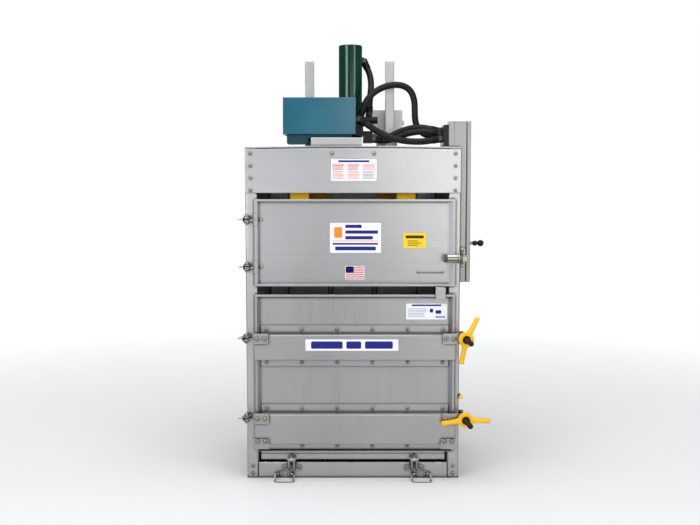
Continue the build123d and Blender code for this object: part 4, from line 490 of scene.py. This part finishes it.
def skin(bm, rings, material_index=0):
    """Smooth faces between rings of vertices; the first and last ring may be a single point."""
    segments = max(len(ring) for ring in rings)
    for lower, upper in zip(rings, rings[1:]):
        for step in range(segments):
            after = (step + 1) % segments
            if len(lower) == 1:
                corners = (lower[0], upper[after], upper[step])
            elif len(upper) == 1:
                corners = (lower[step], lower[after], upper[0])
            else:
                corners = (lower[step], lower[after], upper[after], upper[step])
            face = bm.faces.new(corners)
            face.smooth = True
            face.material_index = material_index


def lathe(bm, place, profile, segments=24, material_index=0):
    """A turned form: the profile is (radius, height) pairs about the place's Z axis."""
    angles = [2 * pi * step / segments for step in range(segments)]
    rings = []
    for radius, height in profile:
        if radius == 0:
            rings.append([bm.verts.new(place @ Vector((0, 0, height)))])
            continue
        rings.append([bm.verts.new(place @ Vector((radius * cos(angle), radius * sin(angle), height)))
                      for angle in angles])
    skin(bm, rings, material_index)


# Hoses: the length in metres and the route in millimetres

HOSE_DIAMETER = 0.032
HOSES = {
    "pressure_hose": (0.305, [
        (62, 54, 2050), (80, 42, 2014), (91, 18, 1974), (94, -10, 1936), (91, -38, 1897), (87, -60, 1860),
        (84, -76, 1824), (82, -86, 1788),
    ]),
    "loop_hose": (0.651, [
        (38, -152, 1764), (52, -148, 1816), (86, -138, 1870), (138, -124, 1908), (200, -114, 1926),
        (254, -110, 1922), (290, -112, 1897), (308, -118, 1852), (310, -124, 1796), (311, -130, 1740),
        (332, -140, 1694), (372, -154, 1668), (418, -164, 1664),
    ]),
    "front_hose": (0.414, [
        (34, -240, 1742), (70, -242, 1721), (120, -248, 1684), (180, -256, 1656), (246, -266, 1639),
        (320, -277, 1634), (376, -284, 1639), (418, -288, 1648),
    ]),
    "arch_hose": (0.321, [
        (114, -155, 1652), (154, -157, 1653), (190, -161, 1667), (236, -167, 1691), (298, -177, 1709),
        (368, -191, 1707), (418, -203, 1690),
    ]),
    "return_hose": (0.317, [
        (114, -200, 1650), (158, -206, 1641), (212, -215, 1655), (272, -226, 1680), (342, -238, 1688),
        (388, -248, 1682), (418, -254, 1672),
    ]),
}
# Distance along the hose and radius
FERRULE = [(0.0, 13.0), (0.0, 18.4), (1.5, 19.2), (5.0, 19.2), (6.5, 17.6), (9.0, 17.6), (10.5, 18.8),
           (15.0, 18.8), (16.2, 17.5), (18.0, 17.5), (19.2, 18.8), (24.0, 18.8), (25.2, 17.5), (27.0, 17.5),
           (28.2, 18.6), (32.0, 18.3), (34.0, 17.2), (34.5, 15.8)]
FERRULE_SEGMENTS = 20


def hose_curve(name, points):
    """The route as one smooth spline through its control points."""
    curve = bpy.data.curves.new(name, "CURVE")
    curve.dimensions = "3D"
    spline = curve.splines.new("NURBS")
    spline.points.add(len(points) - 1)
    for point, place in zip(spline.points, points):
        point.co = (*(value * MM for value in place), 1.0)
    spline.order_u = 3
    spline.use_endpoint_u = True
    spline.resolution_u = 12
    return curve


def hose_line(name, points):
    """Points read along the route's spline, in metres."""
    bare = bpy.data.objects.new(name + "_line", hose_curve(name + "_line", points))
    mesh = bpy.data.meshes.new_from_object(bare)
    line = [vertex.co.copy() for vertex in mesh.vertices]
    bpy.data.objects.remove(bare)
    bpy.data.meshes.remove(mesh)
    return line


def ferrule(bm, line):
    """A crimped collar over the first stretch of a hose."""
    rings = []
    travelled = [0.0]
    for before, after in zip(line, line[1:]):
        travelled.append(travelled[-1] + (after - before).length)
    side = (line[1] - line[0]).orthogonal().normalized()
    for distance, radius in FERRULE:
        reach = distance * MM
        index = max(i for i, value in enumerate(travelled[:-1]) if value <= reach)
        share = (reach - travelled[index]) / (travelled[index + 1] - travelled[index])
        centre = line[index].lerp(line[index + 1], share)
        ahead = (line[index + 1] - line[index]).normalized()
        side = (side - ahead * side.dot(ahead)).normalized()
        across = ahead.cross(side)
        ring = []
        for step in range(FERRULE_SEGMENTS):
            angle = 2 * pi * step / FERRULE_SEGMENTS
            ring.append(bm.verts.new(centre + (side * cos(angle) + across * sin(angle)) * radius * MM))
        rings.append(ring)
    skin(bm, rings)


def make_ferrules(name, line):
    """The two crimped collars of one hose."""
    def build(bm):
        ferrule(bm, line)
        ferrule(bm, line[::-1])

    return smooth_piece(name, mesh_from(name, build), [crimped], "frame", sharp=40)


def make_hose(name, points):
    """A hose and its crimped end collars, which stand for the CAD hose."""
    curve = hose_curve(name + "_curve", points)
    curve.bevel_depth = HOSE_DIAMETER / 2
    curve.bevel_resolution = 6
    curve.use_fill_caps = True
    curve.materials.append(hose_rubber)
    hose = bpy.data.objects.new(name + "_rubber", curve)
    collection.objects.link(hose)
    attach(hose, "frame")
    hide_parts(name)
    collars = make_ferrules(name + "_ferrules", hose_line(name, points))


for hose_name, (hose_length, hose_points) in HOSES.items():
    make_hose(hose_name, hose_points)


# Button-head screws: profiles of the head and of its hexagon socket, (radius, height)

SCREW_DOME = [(8.5, 0.0), (8.5, 1.4), (8.0, 2.8), (6.6, 4.2), (4.9, 5.0), (3.5, 5.3), (3.1, 5.1)]
SCREW_SOCKET = [(3.1, 5.1), (2.9, 3.2), (0.0, 3.0)]
CAP_DOME = [(8.8, 0.0), (8.8, 4.6), (8.2, 5.6), (6.6, 6.6), (4.8, 7.2), (3.5, 7.4), (3.1, 7.2)]
CAP_SOCKET = [(3.1, 7.2), (2.9, 5.5), (0.0, 5.3)]

COVER_FACE = -383.0
POST_FACE = -380.0
HANDLE_PLATE_FACE = -384.0
LATCH_FOOT_FACE = -329.0
FLANGE_FACE = -389.0
DOOR_PLATE_FACE = -449.0
LATCH_X, LATCH_Y, LATCH_Z = 530.3, -431.0, 1077.0
CLAMP_LEVELS = {"upper": 694.0, "lower": 307.0}
SIDES = (-1, 1)
COVER_SCREW_X, COVER_SCREW_LEVELS = 489, (1574, 1516, 1458, 1400)
COVER_INNER_X = 100
POST_SCREW_X, POST_SCREW_LEVELS = 487, (23, 58.5)
CLEVIS_X, CLEVIS_LEVEL, CLEVIS_PAIR = 298, 51, (-36, 36)
HANDLE_X, HANDLE_LEVEL, HANDLE_PAIR = 331, 16, (-20, 20)
LATCH_FOOT_PAIR = (-30, 30)
BOLT_XS = [-416 + 170 * step for step in range(6)]
BOLT_LEVELS, LOWEST_BOLT_LEVEL = (571, 731, 346), 163
LEAF_XS = (-439, 462)
CORNER_PLATE_XS, CORNER_PLATE_LEVEL = (-439, 457), 197.5
PLATE_PAIR = (-18, 18)

FRAME_SCREWS = (
    [(side * COVER_SCREW_X, COVER_FACE, z) for side in SIDES for z in COVER_SCREW_LEVELS]
    + [(side * COVER_INNER_X, COVER_FACE, COVER_SCREW_LEVELS[0]) for side in SIDES]
    + [(side * POST_SCREW_X, POST_FACE, z) for side in SIDES for z in POST_SCREW_LEVELS]
    + [(side * CLEVIS_X + shift, HANDLE_PLATE_FACE, CLEVIS_LEVEL) for side in SIDES for shift in CLEVIS_PAIR]
    + [(side * HANDLE_X + shift, HANDLE_PLATE_FACE, HANDLE_LEVEL) for side in SIDES for shift in HANDLE_PAIR]
    + [(LATCH_X, LATCH_FOOT_FACE, LATCH_Z + shift) for shift in LATCH_FOOT_PAIR]
)
# The corner plates cover the lowest outer two bolts
BEAM_BOLTS = (
    [(x, FLANGE_FACE, z) for x in BOLT_XS for z in BOLT_LEVELS]
    + [(x, FLANGE_FACE, LOWEST_BOLT_LEVEL) for x in BOLT_XS[1:-1]]
)
PLATE_SCREWS = (
    [(x + shift, DOOR_PLATE_FACE, z) for x in LEAF_XS for shift in PLATE_PAIR
     for z in (CLAMP_LEVELS["lower"], CLAMP_LEVELS["upper"])]
    + [(x + shift, DOOR_PLATE_FACE, CORNER_PLATE_LEVEL) for x in CORNER_PLATE_XS for shift in PLATE_PAIR]
)


def screw_heads(name, body, places, dome, socket, replaced=()):
    """Domed heads at (x, y, z) seats facing the operator, with a hexagon socket painted near black as painted
    shade.
    """
    def build(bm):
        for place in places:
            seat = axis_frame(place, FRONT)
            lathe(bm, seat, dome, 18, 0)
            lathe(bm, seat, socket, 6, 1)

    smooth_piece(name, mesh_from(name, build), [steel_cast, socket_shade], body, replaced, 60)


screw_heads("frame_screw_heads", "frame", FRAME_SCREWS, SCREW_DOME, SCREW_SOCKET, ("frame_screws",))
screw_heads("beam_bolt_heads", "lower_door", BEAM_BOLTS, SCREW_DOME, SCREW_SOCKET, ("beam_bolts",))
screw_heads("plate_screw_caps", "lower_door", PLATE_SCREWS, CAP_DOME, CAP_SOCKET)


# Swing bolts and hand nuts

CLAMP_X, CLAMP_Y = 528.0, -345.0
CLAMP_SPLAY = radians(4.0)
CLAMP_AXIS = (sin(CLAMP_SPLAY), -cos(CLAMP_SPLAY), 0.0)
CLAMP_ACROSS = (cos(CLAMP_SPLAY), sin(CLAMP_SPLAY), 0.0)
NUT_SEAT = 109.66
NUT_RING = [(13.0, 0.0), (33.0, 0.0), (36.0, 3.0), (36.0, 28.0), (33.5, 32.0), (20.0, 32.0), (18.6, 30.5),
            (18.6, 26.0), (13.0, 26.0), (13.0, 0.0)]
NUT_COLLAR = [(12.2, 24.0), (17.9, 24.0), (17.9, 29.4), (16.4, 31.0), (13.4, 31.0), (12.3, 30.0),
              (12.2, 24.0)]
ARM_START = 22.0
ARM_REACH = 118.0
ARM_LEVEL = 17.0
ARM_FORWARD = 8.0
ARM_ROOT = [(0.0, 0.0), (13.0, 0.0), (15.5, 8.0), (14.0, 20.0), (12.3, 34.0), (11.6, 60.0)]
ARM_TIP = [(12.0, -3.0), (10.0, 0.0), (0.0, 0.0)]
ARM_ANGLES = {"upper": (63.0, 258.0), "lower": (-2.0, 187.0)}
DOUBLE_REACH = 0.00001
CASTING_VOXEL = 0.0014
THREAD_SPAN = (90.0, 256.0)
THREAD_PITCH = 3.0
THREAD_RADII = (11.5, 12.2, 12.7, 12.2)
THREAD_SEGMENTS = 24


def clamp_frame(level, distance):
    """Axes on a stud: Z along the stud, X across it and Y up, in millimetres."""
    origin = Vector((CLAMP_X, CLAMP_Y, level)) + Vector(CLAMP_AXIS) * distance
    turn = Matrix((CLAMP_ACROSS, (0.0, 0.0, 1.0), CLAMP_AXIS)).transposed().to_4x4()
    return Matrix.Translation(origin * MM) @ turn @ Matrix.Scale(MM, 4)


def hand_nut_mesh(name, level, angles):
    """A cast ring nut whose two arms grow out of the ring with fillets."""
    seat = clamp_frame(level, NUT_SEAT)

    def build(bm):
        lathe(bm, seat, NUT_RING, 48)
        bmesh.ops.remove_doubles(bm, verts=bm.verts, dist=DOUBLE_REACH)
        for angle in angles:
            out = Vector((cos(radians(angle)), sin(radians(angle)), 0.0))
            start = out * ARM_START + Vector((0, 0, ARM_LEVEL))
            end = out * ARM_REACH + Vector((0, 0, ARM_LEVEL + ARM_FORWARD))
            length = (end - start).length
            turn = (end - start).to_track_quat("Z", "Y").to_matrix().to_4x4()
            tip = [(radius, length + height) for radius, height in ARM_TIP]
            lathe(bm, seat @ Matrix.Translation(start) @ turn, ARM_ROOT + tip, 28)

    rough = mesh_from(name + "_rough", build)
    holder = bpy.data.objects.new(name + "_rough", rough)
    collection.objects.link(holder)
    remesh = holder.modifiers.new("remesh", "REMESH")
    remesh.mode = "VOXEL"
    remesh.voxel_size = CASTING_VOXEL
    smooth = holder.modifiers.new("smooth", "SMOOTH")
    smooth.factor = 0.5
    smooth.iterations = 7
    graph = bpy.context.evaluated_depsgraph_get()
    mesh = bpy.data.meshes.new_from_object(holder.evaluated_get(graph))
    mesh.name = name
    bpy.data.objects.remove(holder)
    bpy.data.meshes.remove(rough)
    mesh.shade_smooth()
    return mesh


def stud_thread(bm, level):
    """A rolled thread that winds along the stud."""
    start, end = THREAD_SPAN
    steps = len(THREAD_RADII)
    place = clamp_frame(level, 0.0)
    rows = int((end - start) / THREAD_PITCH * steps)
    rings = []
    for row in range(rows + 1):
        along = start + row * THREAD_PITCH / steps
        ring = []
        for step in range(THREAD_SEGMENTS):
            phase = (row - step * steps / THREAD_SEGMENTS) % steps
            low = int(phase)
            share = phase - low
            radius = THREAD_RADII[low % steps] * (1 - share) + THREAD_RADII[(low + 1) % steps] * share
            angle = 2 * pi * step / THREAD_SEGMENTS
            ring.append(bm.verts.new(place @ Vector((radius * cos(angle), radius * sin(angle), along))))
        rings.append(ring)
    skin(bm, rings)


def make_clamp(tag):
    """The cast hand nut, the collar in its bore and the stud's thread at one level."""
    level = CLAMP_LEVELS[tag]
    nut_name = "hand_nut_casting_" + tag
    collar_name = "nut_collar_" + tag
    thread_name = "stud_thread_" + tag
    nut = hand_nut_mesh(nut_name, level, ARM_ANGLES[tag])
    smooth_piece(nut_name, nut, [yellow], tag + "_hand_nut", ("hand_nut_" + tag,), 60)
    collar = mesh_from(collar_name, lambda bm: lathe(bm, clamp_frame(level, NUT_SEAT), NUT_COLLAR, 36))
    smooth_piece(collar_name, collar, [black_metal], tag + "_hand_nut")
    thread = mesh_from(thread_name, lambda bm: stud_thread(bm, level))
    smooth_piece(thread_name, thread, [black_metal], tag + "_swing_bolt", sharp=60)


for clamp_tag in ("upper", "lower"):
    make_clamp(clamp_tag)


# Latch grip, control lever and tank port

GRIP_X = 448.8
GRIP = [(17.0, 0.0), (18.6, 0.6), (18.6, 3.4), (18.0, 4.2), (18.6, 5.0), (18.6, 7.8), (18.0, 8.6),
        (18.6, 9.4), (18.6, 12.4), (17.6, 15.0), (14.6, 17.2), (0.0, 17.6)]
LEVER_PIVOT = (576.0, -274.0, 1141.0)
BOOT = [(3.4, 4.0), (6.2, 6.0), (6.2, 10.6), (8.6, 11.8), (10.6, 14.0), (11.9, 17.0), (12.6, 20.6),
        (12.2, 22.0), (12.7, 23.4), (12.0, 27.4), (10.4, 30.4), (8.0, 32.8), (6.6, 34.4)]
BALL_RADIUS = 16.0
BALL_CENTRE = 49.0
BALL_NECK = 6.6
BALL_START = 156
BALL_STEPS = 14
LEVER_HUB = [(3.2, 0.0), (5.6, 0.0), (6.0, 0.5), (6.0, 13.1), (5.6, 13.6), (3.2, 13.6), (3.2, 0.0)]
LEVER_HUB_LENGTH = 13.6
PORT_PLACE = (14.2, -240, 1745)
PORT = [(6.0, 0.0), (16.4, 0.0), (17.0, 0.8), (17.0, 6.4), (15.6, 8.0), (13.0, 8.4), (13.0, 11.4),
        (11.6, 12.4), (6.0, 12.4)]


def grip_build(bm):
    """A grooved grip with a round end."""
    lathe(bm, axis_frame((GRIP_X, LATCH_Y, LATCH_Z), (-1, 0, 0)), GRIP, 32)


def lever_build(bm):
    """A hub on the ear pin, a bulb-shaped boot, a short neck and a ball."""
    ball = []
    for step in range(BALL_STEPS + 1):
        angle = radians(BALL_START - BALL_START * step / BALL_STEPS)
        ball.append((BALL_RADIUS * sin(angle), BALL_CENTRE + BALL_RADIUS * cos(angle)))
    ball[0] = (BALL_NECK, ball[0][1])
    ball[-1] = (0.0, BALL_CENTRE + BALL_RADIUS)
    lathe(bm, axis_frame(LEVER_PIVOT, (1, 0, 0)), BOOT + ball, 28)
    x, y, z = LEVER_PIVOT
    lathe(bm, axis_frame((x, y - LEVER_HUB_LENGTH / 2, z), (0, 1, 0)), LEVER_HUB, 24)


def port_build(bm):
    """A stepped ring around the tank's port."""
    lathe(bm, axis_frame(PORT_PLACE, (1, 0, 0)), PORT, 32)


smooth_piece("latch_grip", mesh_from("latch_grip", grip_build), [grip_plastic], "door_latch")
smooth_piece("lever_boot_and_ball", mesh_from("lever_boot_and_ball", lever_build), [knob_plastic], "lever",
             ("control_lever",), 50)
smooth_piece("tank_port", mesh_from("tank_port", port_build), [brass], "frame")


# Printed plates on the front: fields of colour and plain bars

INKS = {
    "white": (0.80, 0.81, 0.84),
    "blue": (0.010, 0.014, 0.22),
    "red": (0.55, 0.07, 0.07),
    "pink": (0.74, 0.24, 0.24),
    "grey": (0.30, 0.30, 0.36),
    "orange": (0.85, 0.24, 0.02),
    "yellow": (0.93, 0.60, 0.01),
    "black": (0.03, 0.03, 0.02),
}
INK_FINISH = {"rough": 0.4, "grain": 300.0, "strength": 0.03, "dust": 1.04, "gloss": 0.25}
label_inks = [moulded("label_" + ink, colour, **INK_FINISH) for ink, colour in INKS.items()]
WHITE, BLUE, RED, PINK, GREY, ORANGE, YELLOW, BLACK = range(len(INKS))
LABEL_THICK = 0.5
LABEL_CORNER = 2.0
INK_THICK = 0.12
INK_CORNER = 0.2
CORNER_STEPS = 5
DOOR_FACE = -385.0
BEAM_FACE = -443.0


def plate(bm, bounds, front, depth, corner, material_index):
    """An upright plate facing the operator, with rounded corners: bounds are left, right, bottom, top."""
    left, right, bottom, top = bounds
    outline = []
    for x, z, turn in ((right - corner, top - corner, 0), (left + corner, top - corner, 1),
                       (left + corner, bottom + corner, 2), (right - corner, bottom + corner, 3)):
        for step in range(CORNER_STEPS):
            angle = (turn + step / (CORNER_STEPS - 1)) * pi / 2
            outline.append((x + corner * cos(angle), z + corner * sin(angle)))
    near = [bm.verts.new((x * MM, front * MM, z * MM)) for x, z in outline]
    far = [bm.verts.new((x * MM, (front + depth) * MM, z * MM)) for x, z in outline]
    faces = [bm.faces.new(near), bm.faces.new(far[::-1])]
    count = len(outline)
    for index in range(count):
        after = (index + 1) % count
        faces.append(bm.faces.new((near[after], near[index], far[index], far[after])))
    for face in faces:
        face.material_index = material_index


def make_label(name, body, bounds, face, ground, marks):
    """A thin plate with coloured fields: marks are (left, right, bottom, top, ink) as shares of the plate."""
    x0, x1, z0, z1 = bounds
    wide, tall = x1 - x0, z1 - z0
    front = face - LABEL_THICK

    def build(bm):
        plate(bm, bounds, front, LABEL_THICK, LABEL_CORNER, ground)
        for left, right, bottom, top, ink in marks:
            corner = min((right - left) * wide, (top - bottom) * tall) * INK_CORNER
            field = (x0 + left * wide, x0 + right * wide, z0 + bottom * tall, z0 + top * tall)
            plate(bm, field, front - INK_THICK, INK_THICK, corner, ink)

    add_piece(name, mesh_from(name, build), label_inks, body)


def bars(left, right, bottom, top, rows, ink, ragged=0.2, fill=0.5):
    """Rows of plain bars of uneven length."""
    chance = random.Random(rows * 31 + int(left * 100))
    pitch = (top - bottom) / rows
    marks = []
    for row in range(rows):
        low = bottom + row * pitch
        end = right - (right - left) * ragged * chance.random()
        marks.append((left, end, low + pitch * (1 - fill) / 2, low + pitch * (1 + fill) / 2, ink))
    return marks


make_label("cover_plate_label", "frame", (-104.6, 113.3, 1445, 1547.7), COVER_FACE, WHITE,
           [(0.16, 0.84, 0.86, 0.95, BLUE)]
           + bars(0.03, 0.31, 0.50, 0.80, 5, RED) + bars(0.03, 0.31, 0.08, 0.46, 6, PINK)
           + bars(0.36, 0.64, 0.50, 0.80, 5, RED) + bars(0.36, 0.64, 0.08, 0.46, 6, PINK)
           + bars(0.69, 0.97, 0.50, 0.80, 5, PINK) + bars(0.69, 0.97, 0.08, 0.46, 6, GREY))
make_label("door_plate_label", "upper_door", (-109.8, 134.5, 1101, 1244.4), DOOR_FACE, WHITE,
           [(0.04, 0.94, 0.385, 0.41, ORANGE), (0.08, 0.24, 0.50, 0.86, ORANGE),
            (0.30, 0.62, 0.83, 0.94, BLUE), (0.30, 0.94, 0.64, 0.75, BLUE), (0.30, 0.84, 0.45, 0.56, BLUE),
            (0.05, 0.94, 0.27, 0.33, BLUE), (0.10, 0.90, 0.08, 0.21, BLUE)])
make_label("door_yellow_label", "upper_door", (242, 350, 1124, 1196), DOOR_FACE, YELLOW,
           [(0.10, 0.90, 0.64, 0.84, BLACK)] + bars(0.18, 0.82, 0.12, 0.54, 3, BLACK, 0.3, 0.4))
make_label("door_striped_label", "upper_door", (-38, 55.4, 973.4, 1037.5), DOOR_FACE, WHITE,
           bars(0.03, 0.97, 0.03, 0.97, 7, RED, 0.0, 0.55) + [(0.03, 0.45, 0.50, 0.97, BLUE)])
make_label("beam_plate_label", "lower_door", (-226.8, 217, 636.2, 691.5), BEAM_FACE, WHITE,
           [(0.06, 0.40, 0.18, 0.82, BLUE), (0.44, 0.60, 0.18, 0.82, BLUE), (0.64, 0.94, 0.18, 0.82, BLUE)])
make_label("rating_label", "lower_door", (255.7, 453.3, 778.9, 856.4), DOOR_FACE, WHITE,
           [(0.14, 0.86, 0.84, 0.94, BLUE)] + bars(0.05, 0.55, 0.14, 0.72, 6, GREY, 0.25, 0.35)
           + [(0.58, 0.66, 0.44, 0.68, BLUE), (0.72, 0.86, 0.36, 0.58, BLUE), (0.72, 0.96, 0.10, 0.22, GREY)])


# Floor

FLOOR_SIZE = 14.0
FLOOR_PALE = (0.84, 0.84, 0.845)
FLOOR_MIRRORED = (0.44, 0.44, 0.435)
FADE_START, FADE_END = 1.1, 4.6


def floor_material():
    """A plain pale floor that keeps the object's shadow and fades to white far from it."""
    s = Shader("pale_floor")
    rays = s.add("ShaderNodeLightPath")
    colour = s.mix(rays.outputs["Is Glossy Ray"], FLOOR_PALE, FLOOR_MIRRORED)
    s.link(colour, s.shader.inputs["Base Color"])
    s.shader.inputs["Roughness"].default_value = 0.8
    s.shader.inputs["Specular IOR Level"].default_value = 0.1
    radius = s.add("ShaderNodeVectorMath", operation="LENGTH")
    s.link(s.coords, radius.inputs[0])
    far = s.range(radius.outputs["Value"], 0.0, 1.0, FADE_START, FADE_END)
    seen = s.math("MULTIPLY", far, rays.outputs["Is Camera Ray"])
    white = s.add("ShaderNodeEmission")
    s.feed(UNTINTED, white.inputs["Color"])
    white.inputs["Strength"].default_value = 1.0
    surface = s.blend(seen, s.shader.outputs["BSDF"], white.outputs["Emission"])
    s.link(surface, s.tree.nodes["Material Output"].inputs["Surface"])
    return s.material


def floor_build(bm):
    bmesh.ops.create_grid(bm, x_segments=1, y_segments=1, size=FLOOR_SIZE)


floor_mesh = mesh_from("floor", floor_build)
floor_mesh.materials.append(floor_material())
floor_piece = bpy.data.objects.new("studio_floor", floor_mesh)
collection.objects.link(floor_piece)


# Room: soft light from all round, a darker room in mirrored rays and plain white behind the object

ROOM_TINT = (0.96, 0.98, 1.0)
ROOM_LEVEL = 0.57
MIRRORED_TINT = (0.93, 0.96, 1.0)
ROOM_GLOSS_LOW = 0.14
ROOM_GLOSS_HIGH = 0.10
ROOM_RISE = 0.7

world = bpy.data.worlds.new("studio_world")
scene.world = world
world.use_nodes = True
room = Graph(world.node_tree)
room_rays = room.add("ShaderNodeLightPath")
soft = room.tree.nodes["Background"]
room.feed(ROOM_TINT, soft.inputs["Color"])
soft.inputs["Strength"].default_value = ROOM_LEVEL
height = room.part(room.add("ShaderNodeTexCoord").outputs["Generated"], "Z")
mirrored = room.add("ShaderNodeBackground")
room.feed(MIRRORED_TINT, mirrored.inputs["Color"])
room.link(room.range(height, ROOM_GLOSS_LOW, ROOM_GLOSS_HIGH, 0.0, ROOM_RISE), mirrored.inputs["Strength"])
clear = room.add("ShaderNodeBackground")
room.feed(UNTINTED, clear.inputs["Color"])
clear.inputs["Strength"].default_value = 1.0
lit = room.blend(room_rays.outputs["Is Glossy Ray"], soft.outputs["Background"],
                 mirrored.outputs["Background"])
backdrop = room.blend(room_rays.outputs["Is Camera Ray"], lit, clear.outputs["Background"])
room.link(backdrop, room.tree.nodes["World Output"].inputs["Surface"])

# Lamps: name, place, target, size, radiance and colour

NEUTRAL = (1.0, 1.0, 1.0)
WARM = (1.0, 0.99, 0.97)
COOL = (0.93, 0.96, 1.0)
LAMPS = [
    ("front_high_softbox", (1.6, -6.2, 2.25), (0.3, 0.0, 1.4), (3.6, 0.8), 1.7, WARM),
    ("front_right_softbox", (2.15, -6.2, 1.1), (0.3, 0.0, 1.1), (3.5, 1.4), 1.7, WARM),
    ("front_left_softbox", (-1.95, -6.2, 1.1), (-0.3, 0.0, 1.1), (2.3, 1.4), 1.35, COOL),
    ("left_strip", (-3.0, -4.1, 2.5), (0.0, 0.0, 1.9), (1.8, 1.5), 7.0, COOL),
    ("right_strip", (3.3, -3.8, 2.5), (0.0, 0.0, 1.9), (1.5, 1.5), 4.5, NEUTRAL),
    ("top_softbox", (0.0, -1.7, 4.9), (0.0, -0.4, 1.2), (3.8, 4.0), 2.3, NEUTRAL),
    ("rear_softbox", (-0.6, 6.2, 3.2), (0.0, 0.0, 1.2), (4.4, 3.0), 1.6, NEUTRAL),
]


def area_light(name, place, target, size, radiance, colour):
    """A soft rectangular lamp of a given radiance aimed at a point."""
    data = bpy.data.lights.new(name, "AREA")
    data.shape = "RECTANGLE"
    data.size, data.size_y = size
    data.energy = pi * size[0] * size[1] * radiance
    data.color = colour
    lamp = bpy.data.objects.new(name, data)
    collection.objects.link(lamp)
    lamp.location = place
    lamp.rotation_euler = (Vector(target) - Vector(place)).to_track_quat("-Z", "Y").to_euler()
    lamp.visible_camera = False


for lamp_settings in LAMPS:
    area_light(*lamp_settings)
